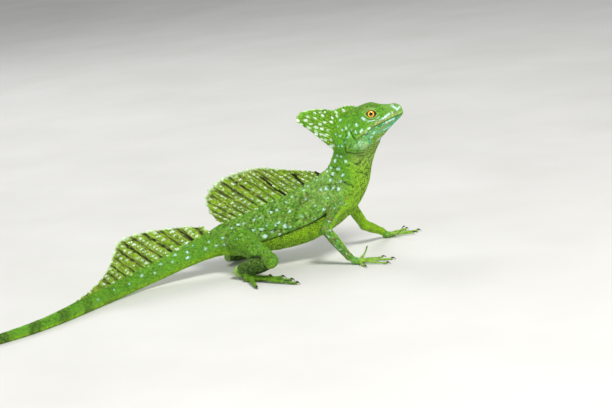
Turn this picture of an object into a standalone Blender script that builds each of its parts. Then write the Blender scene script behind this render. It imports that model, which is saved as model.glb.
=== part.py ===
"""Green basilisk (Basiliscus plumifrons), an adult male at life size, standing on four feet.

One solid for each named part of the body. The animal faces +X with its left side at +Y, it stands
on the plane z = 0, and the origin is the middle of its footprint. Tables are in millimetres.
"""

import math

import bmesh
import bpy
from mathutils import Matrix, Vector

MM = 0.001  # tables in millimetres, meshes in metres
GAP = 0.3  # clearance between neighbouring parts
UP = Vector((0, 0, 1))
LEFTWARD = Vector((0, 1, 0))
RIGHT, LEFT = -1, 1

# Driving dimensions.
TAIL_LENGTH = 500.0
TAIL_STATION = 12.5  # spacing of the tail's sections
TAIL_TIP, TAIL_GAIN, TAIL_TAPER = 0.9, 8.3, 1.35  # half height at the tip, its growth and the power
TAIL_ROOT, TAIL_ROOT_REACH = 3.8, 22.0  # what the half height gains behind the vent, and how far
TAIL_WIDTH, TAIL_ROOT_WIDTH, TAIL_WIDTH_REACH = 0.62, 0.3, 25.0  # the same for width over height
TAIL_PRESS = 0.94  # height of the resting tail's middle line over its half height
TAIL_FALL = 62.0  # reach of the slope from the vent down to the floor
EYE_RADIUS = 5.3
HEAD_SECTIONS, SNOUT_CROWDING = 18, 1.4  # the head's sections, and how they crowd at the snout
JAW_WIDTH, JAW_DEPTH, JAW_REACH = 30.0, 45.0, 10.0  # the wedge that cuts the lower jaw free
BACK_RAYS = 17
TAIL_RAYS = 16
CREST_SINK = 2.6  # how far a crest's root starts below the back
CREST_LEAST = 0.6  # least thickness of a crest
WEB_SHARE = 0.62  # thickness midway between two rays, as a share of a ray's
FULL_ABOVE, FULL_BELOW = 1.12, 0.9  # the body's sections are narrow along the back and full at the belly
BROW_GROWS, JAW_GROWS_OUT, JAW_GROWS_DOWN = 0.7, 0.8, 0.6  # shares of a clearance at the head's edges

# Crests: how much shorter the edge is between two rays, then the thickness at the root and the edge.
HEAD_CREST_BUILD = (0.5, 3.4, 1.3)
BACK_CREST_BUILD = (1.6, 2.6, 1.0)
TAIL_CREST_BUILD = (1.2, 2.2, 1.0)
CLAW_LENGTH = 3.6
CLAW_ARCH, CLAW_HOOK, CLAW_RAISE = 0.55, 0.75, 0.15  # rise, drop at the tip and height, in digit radii
CLAW_ROOT, CLAW_TAPER = 0.62, 0.52  # its size at the root, and what that loses towards the tip

# Sides of the lofted tubes.
BODY_SIDES, HEAD_SIDES, TAIL_SIDES, TAIL_TIP_SIDES = 18, 20, 12, 8
LIMB_SIDES, DIGIT_SIDES, CLAW_SIDES = 10, 5, 4

# Neck and trunk from skull to vent. x and z of the middle line, heading in degrees, half width,
# height above the line (towards the back) and below it (towards the belly).
TRUNK = (
    (55.0, 99.0, -10, 10.5, 12.0, 20.4),
    (50.5, 82.0, -7, 10.5, 17.0, 17.6),
    (44.5, 66.5, -3, 12.5, 19.6, 19.4),
    (34.0, 55.0, 0, 14.8, 21.0, 21.8),
    (17.0, 44.9, 0, 16.4, 22.4, 22.8),
    (-3.0, 38.0, 0, 17.4, 22.2, 23.0),
    (-25.0, 33.4, 0, 17.0, 20.2, 20.4),
    (-47.0, 30.2, 0, 14.4, 16.6, 16.6),
    (-64.0, 28.6, 0, 12.4, 13.8, 13.2),
)
NECK_ROOT, VENT = 2.6, 8.0  # where the trunk's table is cut into neck, trunk and tail
HALF_CUT = 0.01  # half of such a cut, in rows of the table

# How the tail swings, against distance from the vent: degrees towards the right of straight back.
TAIL_SWING = ((0, 2), (45, 12), (95, 34), (140, 44), (200, 36), (290, 4), (390, -34), (500, -62))
TAIL_CUTS = (0, 62.5, 150, 250, 375, 500)

# Head, seen from its own frame: a runs back from the snout's tip, c up. For each section, the top's
# height, then half width and height of brow, cheek and jaw edge, then the bottom's height.
HEAD = (
    (0.8, 1.6, 1.0, 1.1, 1.4, 0.2, 1.0, -0.7, -1.1),
    (0.2, 4.0, 2.0, 3.2, 2.7, 0.2, 2.0, -1.7, -2.4),
    (-1.0, 5.8, 2.9, 4.8, 3.9, 0.2, 2.9, -3.0, -3.8),
    (-4.0, 7.8, 3.9, 6.8, 5.5, 0.2, 4.3, -4.7, -5.7),
    (-9.0, 8.6, 4.8, 7.6, 7.2, -1.0, 5.6, -7.0, -8.0),
    (-16.0, 10.5, 6.8, 9.9, 9.6, -2.4, 7.8, -10.2, -11.9),
    (-23.0, 13.9, 9.0, 13.3, 11.6, -3.4, 10.2, -13.6, -16.2),
    (-31.0, 14.2, 9.2, 13.4, 13.2, -4.6, 12.0, -16.8, -20.2),
    (-39.0, 14.6, 7.6, 11.8, 14.6, -7.0, 13.4, -19.4, -23.2),
    (-46.0, 14.2, 6.2, 10.0, 14.8, -9.4, 13.0, -20.4, -24.0),
    (-53.0, 11.6, 5.6, 6.6, 13.0, -10.4, 10.8, -19.0, -22.4),
    (-59.0, 6.0, 4.8, 2.0, 10.0, -10.2, 8.0, -16.8, -19.6),
    (-63.0, -0.5, 3.4, -3.4, 6.8, -10.0, 5.6, -14.6, -16.6),
)
SNOUT_TIP = Vector((95.4, -9.0, 118.6))
HEAD_PITCH, HEAD_YAW, HEAD_ROLL = 12.0, -10.0, 6.0
MOUTH_FRONT, MOUTH_BACK = Vector((2.0, 0, -1.6)), Vector((-48.0, 0, -10.6))
EYE_PLACE = Vector((-26.2, 6.8, 5.7))

# Head crest: where each of its lines leaves the skull, and where it ends, as (a, c).
HEAD_CREST = (
    ((-35.0, 10.5), (-34.0, 14.6)),
    ((-39.0, 10.5), (-39.5, 17.2)),
    ((-43.0, 10.0), (-46.0, 19.0)),
    ((-46.5, 9.0), (-52.6, 18.4)),
    ((-49.0, 7.5), (-57.0, 18.8)),
    ((-51.5, 6.0), (-62.6, 21.8)),
    ((-53.5, 4.0), (-69.0, 23.9)),
    ((-55.0, 2.0), (-75.5, 25.3)),
    ((-56.5, 0.0), (-81.8, 25.4)),
    ((-57.5, -2.0), (-86.8, 23.0)),
    ((-58.5, -4.0), (-88.0, 18.6)),
    ((-59.5, -6.0), (-84.8, 14.6)),
    ((-60.5, -8.0), (-80.2, 9.2)),
    ((-61.0, -10.0), (-76.0, 3.0)),
    ((-61.5, -12.0), (-72.0, -3.4)),
    ((-62.0, -14.0), (-68.0, -9.6)),
    ((-62.0, -16.0), (-65.5, -14.5)),
)

# Back and tail crests, against the share of the way from the front ray to the last one: the ray's
# length, and its tilt above the body's line towards the tail in degrees.
BACK_CREST = ((0, 7, 66), (0.12, 22, 62), (0.3, 37, 58), (0.5, 44, 53), (0.68, 46, 46), (0.82, 38, 40),
              (0.92, 25, 34), (1, 9, 30))
BACK_CREST_SPAN = (2.75, 7.9)  # stations of the trunk's table
TAIL_CREST = ((0, 8, 58), (0.12, 24, 56), (0.26, 37, 54), (0.38, 40, 52), (0.5, 31, 48), (0.65, 18, 43),
              (0.83, 9, 37), (1, 4, 30))
TAIL_CREST_SPAN = (8.9, 20.5)  # the same table carried on along the tail

# Limbs: shoulder, elbow and wrist, or hip, knee and ankle, as x, distance from the middle plane, z.
LIMBS = {
    "right": {
        "side": RIGHT,
        "arm": ((36.0, 9.0, 50.0), (13.5, 33.0, 31.5), (30.0, 38.0, 7.0)),
        "leg": ((-56.0, 5.0, 28.0), (-40.0, 55.0, 18.0), (-63.0, 27.0, 6.4)),
        "hand": {"palm": (36.5, 39.5), "heading": -4.0},
        "foot": {"palm": (-56.0, 42.0), "heading": -36.0},
    },
    "left": {
        "side": LEFT,
        "arm": ((42.5, 8.0, 47.0), (60.5, 21.0, 17.8), (78.5, 34.0, 7.0)),
        "leg": ((-56.0, 5.0, 28.0), (-34.0, 54.0, 19.0), (-60.0, 28.0, 6.6)),
        "hand": {"palm": (84.5, 37.0), "heading": 2.0},
        "foot": {"palm": (-51.0, 42.0), "heading": 28.0},
    },
}

# Digits, inner to outer: fan angle from the hand's heading towards the outer side, length, and how
# far the tip is held up.
FINGERS = ((-50, 14.0, 7.5), (-15, 21.0, 0.5), (9, 27.0, 0.0), (38, 25.0, 0.0), (80, 14.0, 0.0))
TOES = ((-44, 14.0, 0.0), (-22, 24.0, 0.0), (-4, 34.0, 0.0), (14, 44.0, 0.0), (58, 25.0, 0.0))
WRIST_SHARES = (2.1, 1.9, 1.5)  # radii from wrist to pad, in digit radii
WRIST_RISE = 0.4  # how far above the pad's middle the wrist meets it
PAD_HEIGHT = 0.8  # height of the pad's middle, in its own half heights
DIGIT_ROOT = 0.35  # how far from the pad's middle a digit starts, in the pad's half lengths
DIGIT_REST = 0.9  # height of a resting digit's middle line, in radii
DIGIT_BEND = 0.05  # how far a digit's tip bends inwards, in lengths
DIGIT_SIZE, DIGIT_TAPER, DIGIT_KNOT = 1.15, 0.42, 0.08  # thickness, its loss to the tip, joints
MUSCLE_AT, CALF_AT = 0.35, 0.7  # places of a limb segment's middle radii

# Names of the three parts, radii of the two segments at start, belly and end, then the digits,
# their radius, and the pad's half length, half width and half height.
LIMB_KINDS = {
    "arm": (
        ("upper_arm", "forearm", "hand"), ((6.8, 5.4, 4.3), (4.2, 4.6, 3.3)), FINGERS, 1.35, (5.2, 4.6, 2.6)
    ),
    "leg": (("thigh", "shank", "foot"), ((10.5, 9.6, 6.4), (5.8, 7.6, 4.4)), TOES, 1.6, (6.2, 4.6, 2.8)),
}


# ---------------------------------------------------------------- shared tools


def blend(rows, at):
    """Values of a table at a place between its rows, by a smooth curve through them. The first
    column of each row is its place."""
    at = min(max(at, rows[0][0]), rows[-1][0])
    k = next(i for i in range(len(rows) - 1) if at <= rows[i + 1][0])
    near = [rows[min(max(i, 0), len(rows) - 1)] for i in (k - 1, k, k + 1, k + 2)]
    before, start, end, after = near
    span = end[0] - start[0]
    t = (at - start[0]) / span
    found = []
    for col in range(1, len(start)):
        m0 = (end[col] - before[col]) / ((end[0] - before[0]) or span) * span
        m1 = (after[col] - start[col]) / ((after[0] - start[0]) or span) * span
        found.append(
            (2 * t**3 - 3 * t**2 + 1) * start[col]
            + (t**3 - 2 * t**2 + t) * m0
            + (3 * t**2 - 2 * t**3) * end[col]
            + (t**3 - t**2) * m1
        )
    return found


def steps(start, end, count):
    return [start + (end - start) * i / (count - 1) for i in range(count)]


class Model:
    """The animal's solids in one collection, the cutters in another, and the finishes."""

    def __init__(self):
        self.parts = self.new_group("green_basilisk")
        self.cutters = self.new_group("cutters")
        self.skin = new_finish("skin", (0.13, 0.32, 0.03), 0.55)
        self.eye = new_finish("eye", (0.75, 0.28, 0.02), 0.08)
        self.horn = new_finish("horn", (0.06, 0.05, 0.03), 0.4)

    @staticmethod
    def new_group(name):
        group = bpy.data.collections.new(name)
        bpy.context.scene.collection.children.link(group)
        return group

    @staticmethod
    def new_object(name, bm, group):
        """A mesh object from a bmesh in millimetres."""
        bmesh.ops.recalc_face_normals(bm, faces=bm.faces)
        bmesh.ops.scale(bm, vec=(MM, MM, MM), verts=bm.verts)
        mesh = bpy.data.meshes.new(name)
        bm.to_mesh(mesh)
        bm.free()
        mesh.shade_smooth()
        obj = bpy.data.objects.new(name, mesh)
        group.objects.link(obj)
        return obj

    def part(self, name, bm, finish=None):
        obj = self.new_object(name, bm, self.parts)
        obj.data.materials.append(finish or self.skin)
        return obj

    def cutter(self, name, bm):
        obj = self.new_object(name, bm, self.cutters)
        obj.hide_render = True
        obj.display_type = "WIRE"
        return obj

    def joined(self, name, pieces):
        """One part from a Boolean union of bmeshes that overlap."""
        base = self.part(name, pieces[0])
        others = [self.cutter(f"{name}_piece_{i}", bm) for i, bm in enumerate(pieces[1:])]
        combine(base, "UNION", *others)
        graph = bpy.context.evaluated_depsgraph_get()
        graph.update()
        whole = bpy.data.meshes.new_from_object(base.evaluated_get(graph))
        base.modifiers.clear()
        base.data = whole
        for other in others:
            bpy.data.objects.remove(other)
        return base

    def centre_on_origin(self):
        """Moves everything so that the middle of the footprint's box is the origin."""
        graph = bpy.context.evaluated_depsgraph_get()
        graph.update()
        corners = [Vector(c) for obj in self.parts.objects for c in obj.evaluated_get(graph).bound_box]
        middle = [(min(p[i] for p in corners) + max(p[i] for p in corners)) / 2 for i in range(2)]
        for obj in (*self.parts.objects, *self.cutters.objects):
            obj.location = (-middle[0], -middle[1], 0)


def new_finish(name, colour, roughness):
    made = bpy.data.materials.new(name)
    made.use_nodes = True
    shader = made.node_tree.nodes["Principled BSDF"]
    shader.inputs["Base Color"].default_value = (*colour, 1)
    shader.inputs["Roughness"].default_value = roughness
    shader.inputs["Metallic"].default_value = 0.0
    return made


def combine(obj, operation, *others):
    for other in others:
        boolean = obj.modifiers.new(operation.lower(), "BOOLEAN")
        boolean.operation = operation
        boolean.object = other


def loft(rings):
    """A bmesh of quads between closed rings of points, with both ends capped. Nothing is lower
    than the floor."""
    bm = bmesh.new()
    made = []
    for ring in rings:
        made.append([bm.verts.new((p[0], p[1], max(p[2], 0.0))) for p in ring])
    count = len(made[0])
    for lower, upper in zip(made, made[1:]):
        for i in range(count):
            j = (i + 1) % count
            bm.faces.new((lower[i], lower[j], upper[j], upper[i]))
    bm.faces.new(made[0][::-1])
    bm.faces.new(made[-1])
    return bm


# ---------------------------------------------------------------- neck, trunk and tail


def tail_depth(s):
    """Half the tail's height at a distance from the vent."""
    taper = TAIL_GAIN * (1 - s / TAIL_LENGTH) ** TAIL_TAPER
    return TAIL_TIP + taper + TAIL_ROOT * math.exp(-s / TAIL_ROOT_REACH)


def spine_table():
    """Rows of (station, x, y, z, heading, half width, above, below) from skull to tail tip."""
    rows = [(i, x, 0.0, z, heading, *sizes) for i, (x, z, heading, *sizes) in enumerate(TRUNK)]
    x, y, vent_height = rows[-1][1:4]
    fall = vent_height - tail_depth(0) * TAIL_PRESS
    for k in range(1, round(TAIL_LENGTH / TAIL_STATION) + 1):
        s = k * TAIL_STATION
        swing = blend(TAIL_SWING, s - TAIL_STATION / 2)[0]
        x -= TAIL_STATION * math.cos(math.radians(swing))
        y -= TAIL_STATION * math.sin(math.radians(swing))
        depth = tail_depth(s)
        width = depth * (TAIL_WIDTH + TAIL_ROOT_WIDTH * math.exp(-s / TAIL_WIDTH_REACH))
        z = depth * TAIL_PRESS + fall * math.exp(-((s / TAIL_FALL) ** 2))
        rows.append((VENT + k, x, y, z, blend(TAIL_SWING, s)[0], width, depth, depth))
    return rows


SPINE = spine_table()


def station_of_tail(s):
    return VENT + s / TAIL_STATION


def spine_frame(station):
    """Middle point, direction towards the head, left, and up towards the back."""
    x, y, z, heading = blend(SPINE, station)[:4]
    ahead = Vector(blend(SPINE, station - 0.15)[:3])
    behind = Vector(blend(SPINE, station + 0.15)[:3])
    along = (ahead - behind).normalized()
    turn = math.radians(heading)
    left = Vector((-math.sin(turn), math.cos(turn), 0))
    left = (left - along * left.dot(along)).normalized()
    return Vector((x, y, z)), along, left, along.cross(left)


def spine_ring(station, sides, grow=0.0):
    """One section of neck, trunk or tail: narrow along the back, full at the belly."""
    middle, _, left, up = spine_frame(station)
    half, above, below = (size + grow for size in blend(SPINE, station)[4:])
    ring = []
    for k in range(sides):
        angle = 2 * math.pi * (k + 0.5) / sides
        across, height = math.cos(angle), math.sin(angle)
        fullness = FULL_ABOVE if height > 0 else FULL_BELOW
        across = math.copysign(abs(across) ** fullness, across)
        ring.append(middle + left * half * across + up * height * (above if height > 0 else below))
    return ring


def body_tube(stations, sides, grow=0.0):
    return loft([spine_ring(at, sides, grow) for at in stations])


# ---------------------------------------------------------------- head


def head_point(a, side, c):
    """A point of the head's own frame in the animal's frame."""
    turn = (
        Matrix.Rotation(math.radians(HEAD_YAW), 3, "Z")
        @ Matrix.Rotation(math.radians(-HEAD_PITCH), 3, "Y")
        @ Matrix.Rotation(math.radians(-HEAD_ROLL), 3, "X")
    )
    return SNOUT_TIP + turn @ Vector((a, side, c))


def head_ring(a, grow=0.0):
    rows = [(-row[0], *row[1:]) for row in HEAD]
    top, brow, brow_c, cheek, cheek_c, jaw, jaw_c, bottom = blend(rows, -a)
    half = [
        (0.0, 0.0, top + grow),
        (0.25, brow + grow, brow_c + grow * BROW_GROWS),
        (0.5, cheek + grow, cheek_c),
        (0.75, jaw + grow * JAW_GROWS_OUT, jaw_c - grow * JAW_GROWS_DOWN),
        (1.0, 0.0, bottom - grow),
    ]
    # Mirrored ends make the curve cross the middle line squarely.
    half = [(-0.25, -half[1][1], half[1][2]), *half, (1.25, -half[3][1], half[3][2])]
    ring = []
    for k in range(HEAD_SIDES):
        share = 2 * k / HEAD_SIDES
        side = 1 if share <= 1 else -1
        across, c = blend(half, share if share <= 1 else 2 - share)
        ring.append(head_point(a, side * across, c))
    return ring


def head_tube(grow=0.0):
    """The whole head with its lower jaw. Its sections are closest together at the snout."""
    front, back = HEAD[0][0], HEAD[-1][0]
    shares = [share**SNOUT_CROWDING for share in steps(0.0, 1.0, HEAD_SECTIONS)]
    return loft([head_ring(front + (back - front) * share, grow) for share in shares])


def jaw_block(grow=0.0):
    """A wedge that holds all of the head below the mouth line and in front of the jaw's hinge."""
    slope = (MOUTH_FRONT - MOUTH_BACK).normalized()
    normal = Vector((-slope.z, 0, slope.x))
    front = MOUTH_FRONT + slope * JAW_REACH + normal * grow
    back = MOUTH_BACK - slope * grow + normal * grow
    corners = []
    for side in (-JAW_WIDTH, JAW_WIDTH):
        for base, drop in ((back, 0), (front, 0), (front, JAW_DEPTH), (back, JAW_DEPTH)):
            corners.append(head_point(base.x, side, base.z - drop))
    bm = bmesh.new()
    verts = [bm.verts.new(p) for p in corners]
    for face in ((0, 1, 2, 3), (7, 6, 5, 4), (0, 4, 5, 1), (1, 5, 6, 2), (2, 6, 7, 3), (3, 7, 4, 0)):
        bm.faces.new([verts[i] for i in face])
    return bm


def eyeball(side, grow=0.0):
    bm = bmesh.new()
    bmesh.ops.create_uvsphere(bm, u_segments=14, v_segments=8, radius=EYE_RADIUS + grow)
    place = head_point(EYE_PLACE.x, side * EYE_PLACE.y, EYE_PLACE.z)
    bmesh.ops.translate(bm, vec=place, verts=bm.verts)
    return bm


# ---------------------------------------------------------------- crests


def fan(lines, across, scallop, root, edge, rows=3):
    """A thin crest from lines that run from its root to its edge. Each line is a ray that stands
    proud of the membrane, and the membrane between two rays is a little shorter and thinner."""
    columns = []
    for number, (foot, tip) in enumerate(lines):
        columns.append((foot, tip, 1.0))
        if number + 1 < len(lines):
            next_foot, next_tip = lines[number + 1]
            middle_foot, middle_tip = (foot + next_foot) / 2, (tip + next_tip) / 2
            short = 1 - scallop / max((middle_tip - middle_foot).length, scallop * 2)
            columns.append((middle_foot, middle_foot.lerp(middle_tip, short), WEB_SHARE))
    bm = bmesh.new()
    sheets = []
    for side in (1, -1):
        sheet = []
        for foot, tip, share in columns:
            line = []
            for t in steps(0.0, 1.0, rows):
                half = (root + (edge - root) * min(1.0, t * 2)) / 2 * share
                line.append(bm.verts.new(foot.lerp(tip, t) + across * side * max(half, CREST_LEAST / 2)))
            sheet.append(line)
        sheets.append(sheet)
    left, right = sheets
    for i in range(len(columns) - 1):
        for j in range(rows - 1):
            bm.faces.new((left[i][j], left[i][j + 1], left[i + 1][j + 1], left[i + 1][j]))
            bm.faces.new((right[i][j], right[i + 1][j], right[i + 1][j + 1], right[i][j + 1]))
        for j in (0, rows - 1):
            bm.faces.new((left[i][j], left[i + 1][j], right[i + 1][j], right[i][j]))
    for i in (0, len(columns) - 1):
        for j in range(rows - 1):
            bm.faces.new((left[i][j], right[i][j], right[i][j + 1], left[i][j + 1]))
    return bm


def crest_lines(profile, span, rays):
    """Rays along the back or tail, each in the body's middle plane."""
    lines = []
    for share in steps(0.0, 1.0, rays):
        station = span[0] + (span[1] - span[0]) * share
        middle, along, _, up = spine_frame(station)
        above = blend(SPINE, station)[5]
        length, tilt = blend(profile, share)
        tilt = math.radians(tilt)
        ray = up * math.sin(tilt) - along * math.cos(tilt)
        foot = middle + up * (above - CREST_SINK)
        lines.append((foot, foot + up * CREST_SINK + ray * length))
    return lines


# ---------------------------------------------------------------- limbs and digits


def segment(start, end, radii, grow=0.0, sides=LIMB_SIDES, round_start=True):
    """A limb segment with round ends, thickest where its muscle is."""
    along = (end - start).normalized()
    left = along.cross(UP).normalized()
    up = left.cross(along)
    length = (end - start).length
    first, belly, last = (r + grow for r in radii)
    shape = ((0.0, first), (MUSCLE_AT, belly), (CALF_AT, (belly + last) / 2), (1.0, last))
    rings = []
    if round_start:
        rings += [(start + along * first * t, first * math.sqrt(1 - t * t)) for t in (-0.95, -0.55)]
    rings += [(start + along * length * t, blend(shape, t)[0]) for t in steps(0.0, 1.0, 5)]
    rings += [(end + along * last * t, last * math.sqrt(1 - t * t)) for t in (0.55, 0.95)]
    turns = [2 * math.pi * k / sides for k in range(sides)]
    return loft(
        [[c + (left * math.cos(a) + up * math.sin(a)) * r for a in turns] for c, r in rings]
    )


def palm_pad(centre, heading, sizes):
    """The flat pad of a hand or foot, cut level by the floor."""
    bm = bmesh.new()
    bmesh.ops.create_uvsphere(bm, u_segments=12, v_segments=6, radius=1.0)
    bmesh.ops.scale(bm, vec=sizes, verts=bm.verts)
    bmesh.ops.rotate(bm, matrix=Matrix.Rotation(math.radians(heading), 3, "Z"), verts=bm.verts)
    bmesh.ops.translate(bm, vec=centre, verts=bm.verts)
    for vert in bm.verts:
        vert.co.z = max(vert.co.z, 0.0)
    return bm


def digit_path(centre, heading, fan_angle, length, held_up, radius, start):
    """Middle line of a finger or toe: out of the pad, over the knuckle and down to the floor."""
    turn = math.radians(heading + fan_angle)
    out = Vector((math.cos(turn), math.sin(turn), 0))
    bend = Vector((-out.y, out.x, 0)) * math.copysign(DIGIT_BEND * length, -fan_angle)
    rise = radius * DIGIT_REST
    line = ((0.0, 2.4), (0.3, rise + 1.3), (0.62, rise + 0.5), (0.85, rise), (1.0, rise))
    path = []
    for share in steps(0.0, 1.0, 6):
        lift = blend(line, share)[0] + held_up * share**2
        place = Vector(centre) + out * (start + length * share) + bend * share**2
        path.append(Vector((place.x, place.y, lift)))
    return path


def digit(path, radius):
    """A thin tube along a path, with swollen joints and a flat underside."""
    rings = []
    for k, middle in enumerate(path):
        ahead = path[min(k + 1, len(path) - 1)] - path[max(k - 1, 0)]
        ahead.normalize()
        left = ahead.cross(UP).normalized()
        up = left.cross(ahead)
        share = k / (len(path) - 1)
        size = radius * (DIGIT_SIZE - DIGIT_TAPER * share + DIGIT_KNOT * math.cos(share * 4 * math.pi))
        turns = [2 * math.pi * (i + 0.5) / DIGIT_SIDES for i in range(DIGIT_SIDES)]
        rings.append(
            [middle + (left * math.cos(a) + up * math.sin(a)) * size for a in turns]
        )
    return loft(rings)


def claw(path, radius):
    """A curved, pointed claw that starts a gap beyond the digit's tip."""
    ahead = (path[-1] - path[-2]).normalized()
    left = ahead.cross(UP).normalized()
    root = path[-1] + ahead * GAP
    rings = []
    for share in (0.0, 0.35, 0.7, 1.0):
        arch = CLAW_ARCH * math.sin(math.pi * min(share * 1.15, 1.0)) - CLAW_HOOK * share**2
        middle = root + ahead * CLAW_LENGTH * share + UP * (arch + CLAW_RAISE) * radius
        size = radius * (CLAW_ROOT - CLAW_TAPER * share)
        turns = [2 * math.pi * (i + 0.5) / CLAW_SIDES for i in range(CLAW_SIDES)]
        rings.append([middle + (left * math.cos(a) + UP * math.sin(a)) * size for a in turns])
    return loft(rings)


# ---------------------------------------------------------------- the animal


def build_body(model):
    """Neck, trunk and the tail's lengths. Returns the neck and one cutter that stands for them."""
    neck_stations = steps(0.0, NECK_ROOT - HALF_CUT, 9)
    trunk_stations = steps(NECK_ROOT + HALF_CUT, VENT - HALF_CUT, 19)
    tail_stations = steps(VENT + HALF_CUT, TAIL_CREST_SPAN[1] + 2, 28)
    neck = model.part("neck", body_tube(neck_stations, BODY_SIDES))
    model.part("trunk", body_tube(trunk_stations, BODY_SIDES))
    half_gap = GAP / 2 / TAIL_STATION
    for number, (start, end) in enumerate(zip(TAIL_CUTS, TAIL_CUTS[1:]), 1):
        first, last = station_of_tail(start) + half_gap, station_of_tail(end) - half_gap
        count = max(6, round((end - start) / TAIL_STATION) + 1)
        sides = TAIL_SIDES if start < TAIL_CUTS[3] else TAIL_TIP_SIDES
        model.part(f"tail_{number}", body_tube(steps(first, last, count), sides))
    whole = body_tube(neck_stations + trunk_stations + tail_stations, BODY_SIDES, GAP)
    return neck, model.cutter("body_clearance", whole)


def build_head(model):
    """Head, lower jaw and eyes. Returns a cutter that stands for the head."""
    head = model.part("head", head_tube())
    jaw = model.part("lower_jaw", head_tube())
    combine(head, "DIFFERENCE", model.cutter("jaw_clearance", jaw_block(GAP)))
    combine(jaw, "INTERSECT", model.cutter("jaw_block", jaw_block()))
    for side, name in ((RIGHT, "right"), (LEFT, "left")):
        model.part(f"eye_{name}", eyeball(side), model.eye)
        combine(head, "DIFFERENCE", model.cutter(f"eye_clearance_{name}", eyeball(side, GAP)))
    return model.cutter("head_clearance", head_tube(GAP))


def build_crests(model, head_clearance, body_clearance):
    across_head = head_point(0, 1, 0) - head_point(0, 0, 0)
    lines = [(head_point(foot[0], 0, foot[1]), head_point(tip[0], 0, tip[1])) for foot, tip in HEAD_CREST]
    crest = model.part("head_crest", fan(lines, across_head, *HEAD_CREST_BUILD))
    combine(crest, "DIFFERENCE", head_clearance, body_clearance)
    for name, profile, span, rays, build in (
        ("back_crest", BACK_CREST, BACK_CREST_SPAN, BACK_RAYS, BACK_CREST_BUILD),
        ("tail_crest", TAIL_CREST, TAIL_CREST_SPAN, TAIL_RAYS, TAIL_CREST_BUILD),
    ):
        crest = model.part(name, fan(crest_lines(profile, span, rays), LEFTWARD, *build))
        combine(crest, "DIFFERENCE", body_clearance)


def build_extremity(model, name, wrist, side, place, digits, radius, pad):
    """A hand or foot with its digits in one solid, and a claw for each digit."""
    heading = place["heading"]
    centre = Vector((place["palm"][0], side * place["palm"][1], pad[2] * PAD_HEIGHT))
    bridge = [radius * share for share in WRIST_SHARES]
    pieces = [palm_pad(centre, heading, pad), segment(wrist, centre + UP * WRIST_RISE, bridge, sides=8)]
    for number, (angle, length, held_up) in enumerate(digits, 1):
        path = digit_path(centre, heading, side * angle, length, held_up, radius, pad[0] * DIGIT_ROOT)
        pieces.append(digit(path, radius))
        model.part(f"claw_{name}_{number}", claw(path, radius), model.horn)
    return model.joined(name, pieces)


def build_limb(model, label, kind, body_clearance):
    """An arm or a leg: two segments, and a hand or foot. Each is cut clear of what it grows from."""
    limb = LIMBS[label]
    names, radii, digits, radius, pad = LIMB_KINDS[kind]
    upper_name, lower_name, end_name = (f"{name}_{label}" for name in names)
    root, bend, end = (Vector((x, limb["side"] * y, z)) for x, y, z in limb[kind])
    upper = model.part(upper_name, segment(root, bend, radii[0]))
    combine(upper, "DIFFERENCE", body_clearance)
    upper_clearance = model.cutter(f"{upper_name}_clearance", segment(root, bend, radii[0], GAP))
    lower = model.part(lower_name, segment(bend, end, radii[1], round_start=False))
    combine(lower, "DIFFERENCE", upper_clearance, body_clearance)
    lower_clearance = model.cutter(f"{lower_name}_clearance", segment(bend, end, radii[1], GAP))
    tip = build_extremity(model, end_name, end, limb["side"], limb[names[2]], digits, radius, pad)
    combine(tip, "DIFFERENCE", lower_clearance)


def main():
    for obj in list(bpy.data.objects):
        bpy.data.objects.remove(obj, do_unlink=True)
    model = Model()
    neck, body_clearance = build_body(model)
    head_clearance = build_head(model)
    combine(neck, "DIFFERENCE", head_clearance)
    build_crests(model, head_clearance, body_clearance)
    for label in LIMBS:
        for kind in LIMB_KINDS:
            build_limb(model, label, kind, body_clearance)
    model.centre_on_origin()


main()
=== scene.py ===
"""Green basilisk: the finished looks of the museum model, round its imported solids.

The file is laid out as an add-on. It registers settings, one operator for each group of pieces and a
panel in the 3D view's sidebar, then runs the operators in order. Tables are in millimetres, in the
frame the solids were drawn in; to_frame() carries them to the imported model's own frame.
"""

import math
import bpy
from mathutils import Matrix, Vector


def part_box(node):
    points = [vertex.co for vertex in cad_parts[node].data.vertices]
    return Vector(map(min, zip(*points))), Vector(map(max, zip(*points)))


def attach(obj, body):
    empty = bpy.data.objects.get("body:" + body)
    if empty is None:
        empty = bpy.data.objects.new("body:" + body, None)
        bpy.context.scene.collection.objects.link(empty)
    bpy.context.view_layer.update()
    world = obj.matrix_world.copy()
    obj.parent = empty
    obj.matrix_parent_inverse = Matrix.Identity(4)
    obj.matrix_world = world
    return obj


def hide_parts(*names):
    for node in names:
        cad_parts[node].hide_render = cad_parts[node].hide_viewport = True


bl_info = {
    "name": "Green basilisk looks",
    "version": (1, 0, 0),
    "blender": (4, 5, 0),
    "location": "View3D > Sidebar > Basilisk",
    "description": "Skin, scales, crests, eyes, claws and a plain stage for the green basilisk",
    "category": "Object",
}

from itertools import product

import bmesh
import bpy
import numpy as np
from mathutils import Matrix, Vector
from mathutils.bvhtree import BVHTree
from mathutils.kdtree import KDTree

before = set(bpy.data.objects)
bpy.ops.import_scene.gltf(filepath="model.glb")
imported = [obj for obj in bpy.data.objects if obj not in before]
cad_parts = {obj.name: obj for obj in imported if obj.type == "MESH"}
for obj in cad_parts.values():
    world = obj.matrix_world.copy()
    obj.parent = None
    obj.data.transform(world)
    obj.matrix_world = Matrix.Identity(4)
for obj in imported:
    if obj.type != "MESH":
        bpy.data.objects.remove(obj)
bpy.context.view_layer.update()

MM = 0.001
UP = Vector((0, 0, 1))
RIGHT, LEFT = -1, 1
SIDES = {"right": RIGHT, "left": LEFT}

# ---------------------------------------------------------------- the body's tables, in millimetres

TAIL_LENGTH, TAIL_STATION = 500.0, 12.5  # of the whole tail and from one station to the next
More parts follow.
